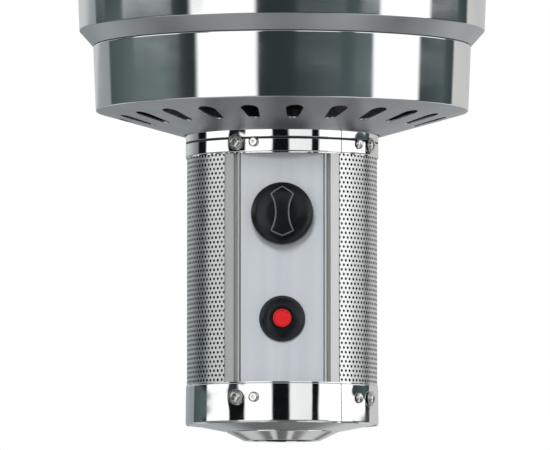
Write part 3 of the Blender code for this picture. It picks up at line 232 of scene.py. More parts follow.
def feed(tree, shader, **inputs):
    """Join or set the shader's sockets, named with underscores for spaces."""
    for name, value in inputs.items():
        socket = shader.inputs[name.replace("_", " ")]
        if isinstance(value, bpy.types.NodeSocket):
            tree.links.new(value, socket)
        else:
            socket.default_value = value


paper, tree, shader = new_finish("pale_studio_paper")
grain = noise(tree, 40)
feed(tree, shader, Base_Color=tint(tree, grain, "C9CACA", "CFD0D0"), Roughness=0.9)
feed(tree, shader, Normal=bump(tree, grain, 0.0004))
bm = bmesh.new()
bmesh.ops.create_circle(bm, cap_ends=True, segments=128, radius=FLOOR_RADIUS)
bmesh.ops.translate(bm, verts=bm.verts, vec=(0, 0, -FLOOR_DROP))
mesh = bpy.data.meshes.new("floor")
bm.to_mesh(mesh)
bm.free()
mesh.materials.append(paper)
floor = bpy.data.objects.new("floor", mesh)
floor.visible_glossy = False
bpy.context.scene.collection.objects.link(floor)

# ---------------------------------------------------------------------------------------------
# Pole hub: a turned and polished steel ring at the column's foot. Its cone closes the space
# between the pole and the dish, and the pole goes 45 mm up into its socket.

# Polished stainless steel gives hard, slightly wavy mirror images, dulled a little by wiping.
polished, tree, shader = new_finish("polished_stainless_steel")
wipe = noise(tree, 9, (1, 1, 3))
ripple = noise(tree, 14, (1, 1, 0.6), detail=1.0)
feed(
    tree,
    shader,
    Base_Color=tint(tree, wipe, "D2D3D3", "DADBDB"),
    Metallic=1.0,
    Roughness=between(tree, wipe, 0.045, 0.095),
    Normal=bump(tree, ripple, 0.00025),
)

SHEET_ROUND = 0.6 * MM  # usual rounding of a turned or pressed edge
SUPPORT = 0.4 * MM  # how far beside an arc its extra point stands


def rounded(corners, steps=4):
    """An outline whose corners, given as (radius, height, rounding), become arcs.

    A point beside each arc keeps the shading of the straight stretches flat.
    """
    line = []
    for number, (x, z, size) in enumerate(corners):
        here = Vector((x, z))
        if not size or number in (0, len(corners) - 1):
            line.append(here)
            continue
        back = (Vector(corners[number - 1][:2]) - here).normalized()
        ahead = (Vector(corners[number + 1][:2]) - here).normalized()
        half = back.angle(ahead) / 2
        reach = size / math.tan(half)
        middle = here + (back + ahead).normalized() * (size / math.sin(half))
        start = here + back * reach - middle
        swing = start.angle_signed(here + ahead * reach - middle)
        line.append(here + back * (reach + min(size * 0.4, SUPPORT)))
        for step in range(steps + 1):
            turn = -swing * step / steps
            spun_arm = Matrix.Rotation(turn, 2) @ start
            line.append(middle + spun_arm)
        line.append(here + ahead * (reach + min(size * 0.4, SUPPORT)))
    return line


def spun(line, steps, start=0.0, sweep=360.0, closed=False):
    """Spin an outline of (radius, height) points about Z, from a bearing round the column."""
    bm = bmesh.new()
    points = [bm.verts.new((x, 0, z)) for x, z in line]
    edges = [bm.edges.new(pair) for pair in zip(points, points[1:])]
    if closed:
        edges.append(bm.edges.new((points[-1], points[0])))
    to_start = Matrix.Rotation(math.radians(start - 90), 3, "Z")
    bmesh.ops.rotate(bm, verts=bm.verts, cent=(0, 0, 0), matrix=to_start)
    bmesh.ops.spin(
        bm,
        geom=[*points, *edges],
        cent=(0, 0, 0),
        axis=(0, 0, 1),
        angle=math.radians(sweep),
        steps=steps,
        use_merge=sweep == 360,
        use_duplicate=False,
    )
    bmesh.ops.remove_doubles(bm, verts=bm.verts, dist=0.000002)
    bmesh.ops.recalc_face_normals(bm, faces=bm.faces)
    return bm


def piece(name, bm, finish, replaced=(), body="root", sharp=35, wall=0.0, broad=False):
    """Make a finished piece from a bmesh, with its walls if it is sheet, and tell the frame.

    Broad faces beside small rounded edges keep their own shading when broad is set.
    """
    mesh = bpy.data.meshes.new(name)
    bm.to_mesh(mesh)
    bm.free()
    mesh.materials.append(finish)
    obj = bpy.data.objects.new(name, mesh)
    bpy.context.scene.collection.objects.link(obj)
    if wall:
        shell = obj.modifiers.new("wall", "SOLIDIFY")
        shell.thickness = wall
        shell.offset = -1
        graph = bpy.context.evaluated_depsgraph_get()
        obj.data = bpy.data.meshes.new_from_object(obj.evaluated_get(graph))
        obj.modifiers.clear()
        bpy.data.meshes.remove(mesh)
    obj.data.shade_smooth()
    obj.data.set_sharp_from_angle(angle=math.radians(sharp))
    if broad:
        even = obj.modifiers.new("broad_faces", "WEIGHTED_NORMAL")
        even.keep_sharp = True
    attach(obj, body)
    if replaced:
        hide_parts(*replaced)
    return obj


hub_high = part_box("pole_hub")[1]
HUB_SOCKET = 25.7 * MM
HUB_RIM = 29.6 * MM
HUB_TUBE = 29 * MM
HUB_FLANGE = (hub_high.x, 6.5 * MM, 9.3 * MM)
HUB_STOP = (19 * MM, 45 * MM, 48 * MM)
hub_line = rounded(
    [
        (HUB_SOCKET, hub_high.z, 0),
        (HUB_TUBE, hub_high.z, SHEET_ROUND),
        (HUB_TUBE, HUB_FLANGE[2], SHEET_ROUND),
        (HUB_FLANGE[0], HUB_FLANGE[2], SHEET_ROUND),
        (HUB_FLANGE[0], HUB_FLANGE[1], SHEET_ROUND),
        (HUB_RIM, 0, 2 * SHEET_ROUND),
        (HUB_SOCKET, 0, SHEET_ROUND),
        (HUB_SOCKET, HUB_STOP[1], SHEET_ROUND),
        (HUB_STOP[0], HUB_STOP[1], 0.4 * MM),
        (HUB_STOP[0], HUB_STOP[2], 0.4 * MM),
        (HUB_SOCKET, HUB_STOP[2], SHEET_ROUND),
        (HUB_SOCKET, hub_high.z, 0),
    ]
)
piece("hub", spun(hub_line[:-1], 128, closed=True), polished, ["pole_hub"])

# ---------------------------------------------------------------------------------------------
# Base dish: a shallow spun dish of polished steel that carries the column's lower end. Its lip
# goes up inside the bottom band, and three screws hold it on the hub's flange.

DISH_WALL = 1.2 * MM
DISH_LIP_ROUND = 1.6 * MM
DISH_BEND = 12.9 * MM
DISH_SEAT = HUB_FLANGE[2] + 0.3 * MM
dish_low, dish_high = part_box("base_dish")
dish_line = rounded(
    [
        (dish_high.x, dish_high.z, 0),
        (dish_high.x, DISH_BEND, DISH_LIP_ROUND),
        (HUB_FLANGE[0] + 0.9 * MM, dish_low.z, SHEET_ROUND),
        (HUB_FLANGE[0] + 0.6 * MM, DISH_SEAT, 0.3 * MM),
        (HUB_TUBE + 2 * MM, DISH_SEAT, 0),
    ]
)
piece("dish", spun(dish_line, 192), polished, ["base_dish"], wall=DISH_WALL)

# ---------------------------------------------------------------------------------------------
# Bands: two straps of polished stainless strip, rolled to a ring. Each has its ends butted at
# one side of the panel, and the upper one has a fine bead pressed in along its middle.

BAND_WALL = 0.8 * MM
BAND_EDGE = 0.7 * MM
SEAM_BEARING = 37.5
SEAM_WIDTH = 0.5
BEAD_DEPTH = 0.7 * MM
BEAD_HALF = 0.9 * MM
BAND_STEPS = 256
LARGE_SCREW_BEARINGS = (-28.2, 65.5, 151.8, 245.5)
SMALL_SCREW_BEARINGS = (-17, 52.5, 163, 232.5)
STRAP_TAPER = 0.4 * MM  # the bottom strap is narrower at its top, which has no lip behind it
PULL_DEPTH = 0.3 * MM  # how far a screw draws the strap in
PULL_SPREAD = 7 * MM

# Bright annealed strip is a mirror with the slow waves of the rolls in it.
strip, tree, shader = new_finish("bright_annealed_stainless_strip")
wipe = noise(tree, 14, (1, 1, 3))
waves = noise(tree, 26, (1, 1, 0.7), detail=1.5)
feed(
    tree,
    shader,
    Base_Color=tint(tree, wipe, "D2D3D3", "DADBDB"),
    Metallic=1.0,
    Roughness=between(tree, wipe, 0.03, 0.08),
    Normal=bump(tree, waves, 0.0005),
)


def grained(name, scale, colours, roughness, depth, metallic=0.0, stretch=(1, 1, 1), detail=4.0):
    """A finish whose colour, roughness and relief all follow one grain."""
    material, tree, shader = new_finish(name)
    grain = noise(tree, scale, stretch, detail)
    feed(
        tree,
        shader,
        Base_Color=tint(tree, grain, *colours),
        Metallic=metallic,
        Roughness=between(tree, grain, *roughness),
        Normal=bump(tree, grain, depth),
    )
    return material


# The pressed bead is painted dark: painted shade along the groove of the bead.
bead_painted_shade = grained("painted_shade_in_the_bead", 90, ("1C2021", "4A4F50"), (0.35, 0.6), 0.00005, metallic=0.6)


def band_line(low, high, radius, taper, bead):
    """Outer face of a band, from its top to its lower edge, with small turned-in edges."""
    turned_in = radius - BAND_WALL
    corners = [(turned_in, high, 0), (radius - taper, high, BAND_EDGE)]
    if bead:
        corners += [
            (radius, bead + BEAD_HALF, 0.5 * MM),
            (radius - BEAD_DEPTH, bead, 0.3 * MM),
            (radius, bead - BEAD_HALF, 0.5 * MM),
        ]
    line = rounded([*corners, (radius, low, BAND_EDGE), (turned_in, low, 0)])
    fine = line[:1]
    for here in line[1:]:
        gap = here - fine[-1]
        pieces = max(1, round(gap.length / (2 * MM)))
        fine += [fine[-1] + gap * step / pieces for step in range(1, pieces)]
        fine.append(here)
    return fine


for name, taper, bead_share in (("bottom_band", STRAP_TAPER, None), ("upper_band", 0, 0.42)):
    low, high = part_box(name)
    bead = low.z + (high.z - low.z) * bead_share if bead_share else None
    line = band_line(low.z, high.z, high.x, taper, bead)
    bm = spun(line, BAND_STEPS, SEAM_BEARING + SEAM_WIDTH / 2, 360 - SEAM_WIDTH)
    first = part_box(f"{name}_screw_1")
    level = (first[0].z + first[1].z) / 2
    for bearing in LARGE_SCREW_BEARINGS + SMALL_SCREW_BEARINGS:
        turn = math.radians(bearing)
        spot = Vector((math.sin(turn) * high.x, -math.cos(turn) * high.x, level))
        for vert in bm.verts:
            away = (vert.co - spot).length
            if away < 2.5 * PULL_SPREAD:
                pull = PULL_DEPTH * math.exp(-((away / PULL_SPREAD) ** 2)) / high.x
                vert.co.xy *= 1 - pull
    strap = piece(f"{name}_strap", bm, strip, [name], wall=BAND_WALL)
    # The bead's faces take the painted shade.
    if bead:
        strap.data.materials.append(bead_painted_shade)
        for polygon in strap.data.polygons:
            if abs(polygon.center.z - bead) < 0.8 * BEAD_HALF:
                polygon.material_index = 1

# ---------------------------------------------------------------------------------------------
# Band screws: bright nickel-plated cross-head screws with plain washers go through the bands,
# the guard and the liner. Smaller ones without washers stand beside them.

RECESS_TURNS = (20, 63, 41, 8, 75, 30, 55, 84)  # each head stops where it was tight

# Nickel plating is a warm, bright mirror with fine pits.
nickel = grained("nickel_plated_steel", 900, ("C9C7C2", "DEDDD9"), (0.1, 0.24), 0.00004, metallic=1.0)


def shaped(bm, *steps, crossing=False):
    """Join, cut or trim one bmesh with others, and give the result back as a bmesh.

    Crossing is set when a tool's own parts cross each other.
    """
    objects = []
    for number, source in enumerate([bm, *(tool for _, tool in steps)]):
        mesh = bpy.data.meshes.new(f"shape_{number}")
        source.to_mesh(mesh)
        source.free()
        obj = bpy.data.objects.new(f"shape_{number}", mesh)
        bpy.context.scene.collection.objects.link(obj)
        objects.append(obj)
    target = objects[0]
    for (operation, _), tool in zip(steps, objects[1:]):
        carve = target.modifiers.new(tool.name, "BOOLEAN")
        carve.object = tool
        carve.operation = operation
        carve.use_self = crossing
    graph = bpy.context.evaluated_depsgraph_get()
    mesh = bpy.data.meshes.new_from_object(target.evaluated_get(graph))
    for obj in objects:
        bpy.data.objects.remove(obj, do_unlink=True)
    result = bmesh.new()
    result.from_mesh(mesh)
    bpy.data.meshes.remove(mesh)
    return result


def cross_screw(head, height, shank, length, washer=None):
    """A pan-head screw along Z, with a cross recess and, if it has one, its washer."""
    start = washer[1] if washer else 0.0
    corners = [(0, start + height, 0), (head * 0.72, start + height * 0.93, head * 0.25)]
    corners += [(head, start + height * 0.45, head * 0.14), (head, start + 0.02 * MM, 0.2 * MM)]
    if washer:
        corners += [(washer[0], start, 0.2 * MM), (washer[0], 0, 0.15 * MM)]
    corners += [(shank, 0, 0), (shank, -length, 0), (0, -length, 0)]
    cross = bmesh.new()
    for turn in (0, 90):
        arm = bmesh.ops.create_cube(cross, size=1)["verts"]
        size = Matrix.Diagonal((head * 1.05, head * 0.24, height * 1.4, 1))
        turned = Matrix.Rotation(math.radians(turn), 4, "Z") @ size
        bmesh.ops.transform(cross, matrix=turned, verts=arm)
        foot = [vert for vert in arm if vert.co.z < 0]
        bmesh.ops.scale(cross, vec=(0.45, 0.45, 1), verts=foot)
    bmesh.ops.translate(cross, verts=cross.verts, vec=(0, 0, start + height * 1.05))
    return shaped(spun(rounded(corners, 3), 32), ("DIFFERENCE", cross), crossing=True)


def around(bearing, distance, height, twist=0.0):
    """Place something made along Z so that it points out of the column at a bearing."""
    turn = math.radians(bearing)
    spot = Vector((math.sin(turn) * distance, -math.cos(turn) * distance, height))
    upright = Matrix.Rotation(turn, 4, "Z") @ Matrix.Rotation(math.radians(90), 4, "X")
    return Matrix.Translation(spot) @ upright @ Matrix.Rotation(math.radians(twist), 4, "Z")


large_screw = cross_screw(4.2 * MM, 2.1 * MM, 2 * MM, 8.6 * MM, (6 * MM, 1 * MM))
small_screw = cross_screw(4 * MM, 1.8 * MM, 1.6 * MM, 6 * MM)
band_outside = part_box("upper_band")[1].x
for level in ("bottom", "upper"):
    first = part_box(f"{level}_band_screw_1")
    screw_height = (first[0].z + first[1].z) / 2
    for number in range(4):
        for size, bearings, source in (
            ("large", LARGE_SCREW_BEARINGS, large_screw),
            ("small", SMALL_SCREW_BEARINGS, small_screw),
        ):
            bm = source.copy()
            twist = RECESS_TURNS[(number + len(size) + len(level)) % len(RECESS_TURNS)]
            seat = band_outside + (0.3 * MM if size == "large" else 0.05 * MM)
            seated = around(bearings[number], seat, screw_height, twist)
            bmesh.ops.transform(bm, matrix=seated, verts=bm.verts)
            stands_for = [f"{level}_band_screw_{number + 1}"] if size == "large" else []
            piece(f"{level}_{size}_screw_{number + 1}", bm, nickel, stands_for, sharp=28)

# ---------------------------------------------------------------------------------------------
# Perforated guard: polished stainless sheet punched with round holes in staggered rows, rolled
# round the column and open at the panel. It is made flat and then rolled.

HOLE_RADIUS = 1.13 * MM
HOLE_PITCH = 4.1 * MM
HOLE_SIDES = 12
GUARD_WALL = 0.8 * MM
guard_low, guard_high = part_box("perforated_guard")
guard_radius = guard_high.x
trim_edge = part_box("right_trim")[1].x - 5 * MM

# Punched and polished stainless: bright between the holes, with soft waves from the punching.
punched = grained(
    "punched_stainless_sheet", 30, ("CFD0D0", "DCDDDD"), (0.24, 0.32), 0.00006,
    metallic=1.0, stretch=(1, 1, 2),
)

# The walls of the holes are torn and dull, as the punch leaves them, and painted near black: painted shade
# that keeps the holes dark.
hole_walls_torn_and_painted_shade = grained("torn_punched_edge_painted_dark", 900, ("2E3030", "454848"), (0.45, 0.6), 0.00004, metallic=1.0)


def punched_cell():
    """One hole and the six-sided land round it, flat in X and Z, as a ring of quads."""
    bm = bmesh.new()
    upright = Matrix.Rotation(math.radians(90), 3, "X")
    half_land = HOLE_PITCH / math.sqrt(3)
    land = bmesh.ops.create_circle(bm, cap_ends=False, segments=6, radius=half_land)["verts"]
    bmesh.ops.rotate(bm, verts=land, cent=(0, 0, 0), matrix=upright)
    bmesh.ops.subdivide_edges(bm, edges=bm.edges[:], cuts=HOLE_SIDES // 6 - 1)
    outer = bm.edges[:]
    rim = bmesh.ops.create_circle(bm, cap_ends=False, segments=HOLE_SIDES, radius=HOLE_RADIUS)["verts"]
    bmesh.ops.rotate(bm, verts=rim, cent=(0, 0, 0), matrix=upright)
    inner = [edge for edge in bm.edges if edge not in outer]
    bmesh.ops.bridge_loops(bm, edges=outer + inner)
    return bm


def everything(bm):
    return bm.verts[:] + bm.edges[:] + bm.faces[:]


def copied(bm, count, place):
    """Copy all that a bmesh holds until there are count of it, each moved by its matrix."""
    first = everything(bm)
    for number in range(1, count):
        copy = bmesh.ops.duplicate(bm, geom=first)["geom"]
        moved = [item for item in copy if isinstance(item, bmesh.types.BMVert)]
        bmesh.ops.transform(bm, matrix=place(number), verts=moved)


def facing_out(bm):
    """Turn the faces of a rolled sheet away from the column."""
    bmesh.ops.recalc_face_normals(bm, faces=bm.faces)
    face = max(bm.faces, key=lambda item: item.calc_center_median().x)
    if face.normal.x < 0 and face.calc_center_median().x > 0:
        bmesh.ops.reverse_faces(bm, faces=bm.faces)


def punched_sheet(start, end, low, high):
    """Flat punched sheet between two bearings, rolled to the guard's radius."""
    bm = punched_cell()
    row = HOLE_PITCH * math.sqrt(3) / 2
    length = math.radians(end - start) * guard_radius
    columns = math.ceil(length / HOLE_PITCH) + 2
    rows = math.ceil((high - low) / row) + 2
    copied(bm, columns, lambda number: Matrix.Translation((number * HOLE_PITCH, 0, 0)))
    bmesh.ops.remove_doubles(bm, verts=bm.verts, dist=0.01 * MM)
    copied(bm, rows, lambda number: Matrix.Translation((HOLE_PITCH / 2 * (number % 2), 0, number * row)))
    bmesh.ops.remove_doubles(bm, verts=bm.verts, dist=0.01 * MM)
    for place, normal, cleared in (
        (HOLE_PITCH, (1, 0, 0), "clear_inner"),
        (row, (0, 0, 1), "clear_inner"),
        (HOLE_PITCH + length, (1, 0, 0), "clear_outer"),
        (row + high - low, (0, 0, 1), "clear_outer"),
    ):
        plane = {"plane_co": Vector(normal) * place, "plane_no": normal, cleared: True}
        bmesh.ops.bisect_plane(bm, geom=everything(bm), **plane)
    bmesh.ops.translate(bm, verts=bm.verts, vec=(-HOLE_PITCH, 0, low - row))
    for vert in bm.verts:
        turn = math.radians(start) + vert.co.x / guard_radius
        vert.co = (math.sin(turn) * guard_radius, -math.cos(turn) * guard_radius, vert.co.z)
    facing_out(bm)
    return bm


guard_edge = math.degrees(math.asin((trim_edge + 0.4 * MM) / guard_radius))
for name, start, end, stands_for in (
    ("guard_right", guard_edge, 180, ["perforated_guard"]),
    ("guard_left", 180, 360 - guard_edge, []),
):
    sheet = punched_sheet(start, end, guard_low.z, guard_high.z)
    guard = piece(name, sheet, punched, stands_for, wall=GUARD_WALL)
    # The hole walls take the torn finish with its painted shade.
    guard.data.materials.append(hole_walls_torn_and_painted_shade)
    for polygon in guard.data.polygons:
        outward = Vector((*polygon.center.xy, 0)).normalized()
        if abs(polygon.normal.dot(outward)) < 0.5:
            polygon.material_index = 1

# ---------------------------------------------------------------------------------------------
# Liner: a rolled steel tube behind the guard, which carries the column. Its black is painted
# shade: a dark sheet that makes the guard's holes look black.

# The liner's painted shade is matt black, with a fine sprayed grain.
liner_painted_shade = grained("black_liner_painted_shade", 1200, ("0C0D0D", "1A1B1B"), (0.55, 0.75), 0.00006)


def repaint(finish, *names):
    """Give CAD nodes whose shape is right a finish of their own."""
    for name in names:
        nodes[name].data.materials.clear()
        nodes[name].data.materials.append(finish)


repaint(liner_painted_shade, "column_liner")

# ---------------------------------------------------------------------------------------------
# Trims: extruded aluminium on both sides of the panel, satin anodised. Each has a flat face
# beside the guard, a deep groove and a bright lip that the panel's edge sits against.

# Anodised extrusion: fine upright die lines, grey and even.
anodised = grained(
    "satin_anodised_aluminium", 1500, ("B4B5B4", "C4C5C3"), (0.3, 0.42), 0.00003,
    metallic=0.8, stretch=(1, 1, 0.004), detail=2.0,
)


def ease_edges(bm, width, segments=2, angle=30):
    """Round those edges of a bmesh that turn by more than an angle."""
    hard = [edge for edge in bm.edges if edge.is_manifold and edge.calc_face_angle() > math.radians(angle)]
    bmesh.ops.bevel(
        bm,
        geom=hard,
        offset=width,
        offset_type="OFFSET",
        affect="EDGES",
        segments=segments,
        profile=0.5,
        material=-1,
        clamp_overlap=True,
    )


def softened(name, width):
    """A copy of a CAD node's mesh with its facets joined and its edges rounded."""
    bm = bmesh.new()
    bm.from_mesh(nodes[name].data)
    bmesh.ops.remove_doubles(bm, verts=bm.verts, dist=0.000002)
    bmesh.ops.dissolve_limit(bm, angle_limit=math.radians(1), verts=bm.verts, edges=bm.edges)
    ease_edges(bm, width)
    return bm


for side in ("left", "right"):
    bm = softened(f"{side}_trim", 0.18 * MM)
    piece(f"{side}_trim_extrusion", bm, anodised, [f"{side}_trim"], sharp=60, broad=True)

# ---------------------------------------------------------------------------------------------
# Control panel: a flat aluminium plate, brushed up and down, with its edges broken. Thin
# crescent plates close the gaps between it and the round bands.

# Brushed aluminium: upright scratches about a third of a millimetre apart, drawn that coarse so
# that they show, over slow pale streaks.
brushed, tree, shader = new_finish("brushed_aluminium_plate")
scratch = noise(tree, 2600, (1, 1, 0.006), detail=3.0, roughness=0.7)
streak = noise(tree, 90, (1, 1, 0.03), detail=2.0)
feed(
    tree,
    shader,
    Base_Color=tint(tree, between(tree, streak, 0, 1), "C6CBD1", "D0D5D9"),
    Metallic=0.5,
    Roughness=between(tree, scratch, 0.34, 0.5),
    Normal=bump(tree, scratch, 0.000012),
)
bm = softened("control_panel", 0.25 * MM)
piece("panel_plate", bm, brushed, ["control_panel"], sharp=60, broad=True)
repaint(brushed, "upper_closer", "lower_closer")

# ---------------------------------------------------------------------------------------------
# Control knob: moulded black plastic on the cock's stem. A waisted grip stands across a domed
# skirt, with a fine raised line round its crown, and a notch above it points at the setting.

# Black ABS with a fine spark-eroded grain and a soft satin shine.
abs_black, tree, shader = new_finish("black_moulded_abs")
mould = noise(tree, 2200)
handled = noise(tree, 60)
feed(
    tree,
    shader,
    Base_Color=tint(tree, mould, "08090B", "0F1113"),
    Roughness=between(tree, handled, 0.24, 0.36),
    Specular_IOR_Level=0.3,
    Normal=bump(tree, mould, 0.00003),
)

# The fine raised line round the grip is lighter grey: a painted highlight along the grip's edges.
grip_line_painted_highlight, tree, shader = new_finish("abs_grip_line_painted_highlight")
highlight_grain = noise(tree, 240)
feed(
    tree,
    shader,
    Base_Color=tint(tree, between(tree, highlight_grain, 0, 1), "464D50", "545B5E"),
    Roughness=between(tree, highlight_grain, 0.2, 0.32),
    Normal=bump(tree, highlight_grain, 0.00003),
)

KNOB_STEPS = 96
knob_low, knob_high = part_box("control_knob")
knob_radius = (knob_high.x - knob_low.x) / 2
knob_back = -knob_high.y
knob_depth = knob_high.y - knob_low.y
knob_height = (knob_high.z + knob_low.z) / 2
GRIP_WAIST = 5.2 * MM
GRIP_CORNERS = 14.5 * MM
GRIP_TIPS = (20.6 * MM, -18.6 * MM)
GRIP_CURVE = 29 * MM
TIP_CURVE = 0.8  # under 1 the grip's ends swell a little
GRIP_FOOT = 4 * MM
GRIP_FOOT_SCALE = (1.04, 1.01)
GRIP_TOP_SCALE = (0.94, 0.98)
GRIP_ROUND = 0.65 * MM
LINE_INSET = (0.93, 0.96)  # the raised line's size, as shares of the grip's
LINE_HALF = 0.65 * MM
LINE_RISE = 0.4 * MM
LINE_SINK = 0.1 * MM
NOTCH_PLACE = (0, 22.2 * MM, 8 * MM)
NOTCH_SLOPE = 38


def grip_outline():
    """The grip seen from the front: two inward curves, closed by shallow points."""
    middle = GRIP_WAIST + GRIP_CURVE
    side = []
    for step in range(17):
        up = GRIP_CORNERS * (1 - step / 8)
        side.append((middle - math.sqrt(GRIP_CURVE**2 - up**2), up))
    corner = side[0][0]
    rise = GRIP_TIPS[0] - GRIP_CORNERS
    fall = GRIP_TIPS[1] + GRIP_CORNERS
    shares = [step / 5 for step in range(1, 6)]
    upper = [(corner * (1 - share), GRIP_CORNERS + rise * share**TIP_CURVE) for share in shares]
    lower = [(corner * (1 - share), fall * share**TIP_CURVE - GRIP_CORNERS) for share in shares]
    outline = upper[::-1] + side + lower
    return outline + [(-x, y) for x, y in reversed(outline[1:-1])]


def grip_prism(low, high):
    """The grip's upright sides, which lean in a little."""
    bm = bmesh.new()
    wide, tall = GRIP_FOOT_SCALE
    face = bm.faces.new([bm.verts.new((x * wide, y * tall, low)) for x, y in grip_outline()])
    top = bmesh.ops.extrude_face_region(bm, geom=[face])["geom"]
    raised = [item for item in top if isinstance(item, bmesh.types.BMVert)]
    bmesh.ops.scale(bm, vec=(*GRIP_TOP_SCALE, 1), verts=raised)
    bmesh.ops.translate(bm, verts=raised, vec=(0, 0, high - low))
    bmesh.ops.recalc_face_normals(bm, faces=bm.faces)
    return bm


def level_at(line, distance):
    """Height of a turned line at a distance from its axis."""
    for near, far in zip(line, line[1:]):
        if near.x <= distance < far.x:
            return near.y + (far.y - near.y) * (distance - near.x) / (far.x - near.x)
    return line[-1].y


def raised_line(path, half, height):
    """A closed low bead along a path."""
    bm = bmesh.new()
    rings = []
    for here, point in enumerate(path):
        along = (path[(here + 1) % len(path)] - path[here - 1]).normalized()
        across = along.cross(Vector((0, 0, 1))).normalized()
        ring = []
        for step in range(8):
            turn = step * math.pi / 4
            offset = across * half * math.cos(turn) + Vector((0, 0, height * math.sin(turn)))
            ring.append(bm.verts.new(point + offset))
        rings.append(ring)
    for here, ring in enumerate(rings):
        before = rings[here - 1]
        for step in range(8):
            bm.faces.new((before[step - 1], before[step], ring[step], ring[step - 1]))
    bmesh.ops.recalc_face_normals(bm, faces=bm.faces)
    return bm


skirt = spun(
    rounded(
        [
            (0, 11.4 * MM, 0),
            (13 * MM, 10.8 * MM, 20 * MM),
            (20.6 * MM, 8.6 * MM, 9 * MM),
            (knob_radius - 0.4 * MM, 5.2 * MM, 2 * MM),
            (knob_radius, 0, 0.3 * MM),
            (0, 0, 0),
        ],
        8,
    ),
    KNOB_STEPS,
)
crown_line = rounded(
    [
        (0, knob_depth, 0),
        (9 * MM, knob_depth - 0.3 * MM, 30 * MM),
        (17.5 * MM, knob_depth - 2.2 * MM, 10 * MM),
        (21.5 * MM, knob_depth - 6.5 * MM, 0),
        (21.5 * MM, 0, 0),
        (0, 0, 0),
    ],
    8,
)
crown = spun(crown_line, KNOB_STEPS)
grip = shaped(grip_prism(GRIP_FOOT, knob_depth + 2 * MM), ("INTERSECT", crown))
notch = bmesh.new()
bmesh.ops.create_cone(notch, cap_ends=True, segments=12, radius1=0.5 * MM, radius2=0.5 * MM, depth=3.4 * MM)
slope = Matrix.Rotation(math.radians(90 + NOTCH_SLOPE), 4, "X")
bmesh.ops.transform(notch, matrix=Matrix.Translation(NOTCH_PLACE) @ slope, verts=notch.verts)
knob_bm = shaped(skirt, ("DIFFERENCE", notch), ("UNION", grip))
bmesh.ops.remove_doubles(knob_bm, verts=knob_bm.verts, dist=0.00002)
bmesh.ops.dissolve_degenerate(knob_bm, dist=0.00001, edges=knob_bm.edges)
ease_edges(knob_bm, GRIP_ROUND, 3, 32)
knob_place = around(0, knob_back, knob_height)
bmesh.ops.transform(knob_bm, matrix=knob_place, verts=knob_bm.verts)
piece("knob_moulding", knob_bm, abs_black, ["control_knob"], "knob", 60, broad=True)

line_path = []
for across, up in grip_outline():
    spot = Vector((across * LINE_INSET[0], up * LINE_INSET[1], 0))
    spot.z = min(level_at(crown_line, spot.length) - LINE_SINK, knob_depth - LINE_RISE)
    line_path.append(spot)
line_bm = raised_line(line_path, LINE_HALF, LINE_RISE)
bmesh.ops.transform(line_bm, matrix=knob_place, verts=line_bm.verts)
# The raised line carries the painted highlight.
piece("knob_line", line_bm, grip_line_painted_highlight, body="knob", sharp=60)

# ---------------------------------------------------------------------------------------------
# Igniter: a domed black bezel on the panel, and a red push button that stands a little proud
# of it. The piezo body, its nut and the lead are behind the panel.

# Red plastic, moulded and lightly polished by use.
abs_red = grained("red_moulded_abs", 700, ("B81017", "C4151B"), (0.3, 0.42), 0.00002)
BUTTON_PLAY = 0.35 * MM
bezel_low, bezel_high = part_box("igniter_bezel")
button_low, button_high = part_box("igniter_button")
igniter_height = (bezel_low.z + bezel_high.z) / 2
bezel_radius = (bezel_high.x - bezel_low.x) / 2
bezel_depth = bezel_high.y - bezel_low.y
button_radius = (button_high.x - button_low.x) / 2
button_length = button_high.y - button_low.y
bezel_line = rounded(
    [
        (button_radius + BUTTON_PLAY, 0.1 * MM, 0),
        (button_radius + BUTTON_PLAY, bezel_depth - 0.1 * MM, 0.5 * MM),
        (10.5 * MM, bezel_depth, 6 * MM),
        (15 * MM, bezel_depth - 2.4 * MM, 6 * MM),
        (bezel_radius - 0.2 * MM, 1.7 * MM, 1 * MM),
        (bezel_radius, 0, 0.3 * MM),
        (9.4 * MM, 0, 0),
    ],
    8,
)
bm = spun(bezel_line, KNOB_STEPS, closed=True)
bmesh.ops.transform(bm, matrix=around(0, -bezel_high.y, igniter_height), verts=bm.verts)
piece("bezel_moulding", bm, abs_black, ["igniter_bezel"])
button_line = rounded(
    [
        (0, button_length - 0.25 * MM, 0),
        (button_radius - 1.6 * MM, button_length - 0.25 * MM, 1 * MM),
        (button_radius - 1.1 * MM, button_length, 0.4 * MM),
        (button_radius, button_length, 0.7 * MM),
        (button_radius, 0, 0.3 * MM),
        (0, 0, 0),
    ],
    5,
)
bm = spun(button_line, 64)
bmesh.ops.transform(bm, matrix=around(0, -button_high.y, igniter_height), verts=bm.verts)
piece("button_moulding", bm, abs_red, ["igniter_button"], body="igniter_push")

# ---------------------------------------------------------------------------------------------
# Lower pan: spun from polished stainless sheet. Air goes in through a ring of slots in its
# underside, and its collar hangs round the top of the column.

# Faces that look down are left satin by the spinning tool, with faint rings; their colour is also painted
# darker than the polished steel, as painted shade.
satin_and_painted_shade, tree, shader = new_finish("satin_spun_stainless_and_painted_shade")
cloud = noise(tree, 25)
ring = noise(tree, 1800, (0.02, 0.02, 1))
feed(
    tree,
    shader,
    Base_Color=tint(tree, cloud, "A8ADB0", "B4B8BA"),
    Metallic=1.0,
    Roughness=between(tree, cloud, 0.3, 0.42),
    Normal=bump(tree, ring, 0.00001),
)

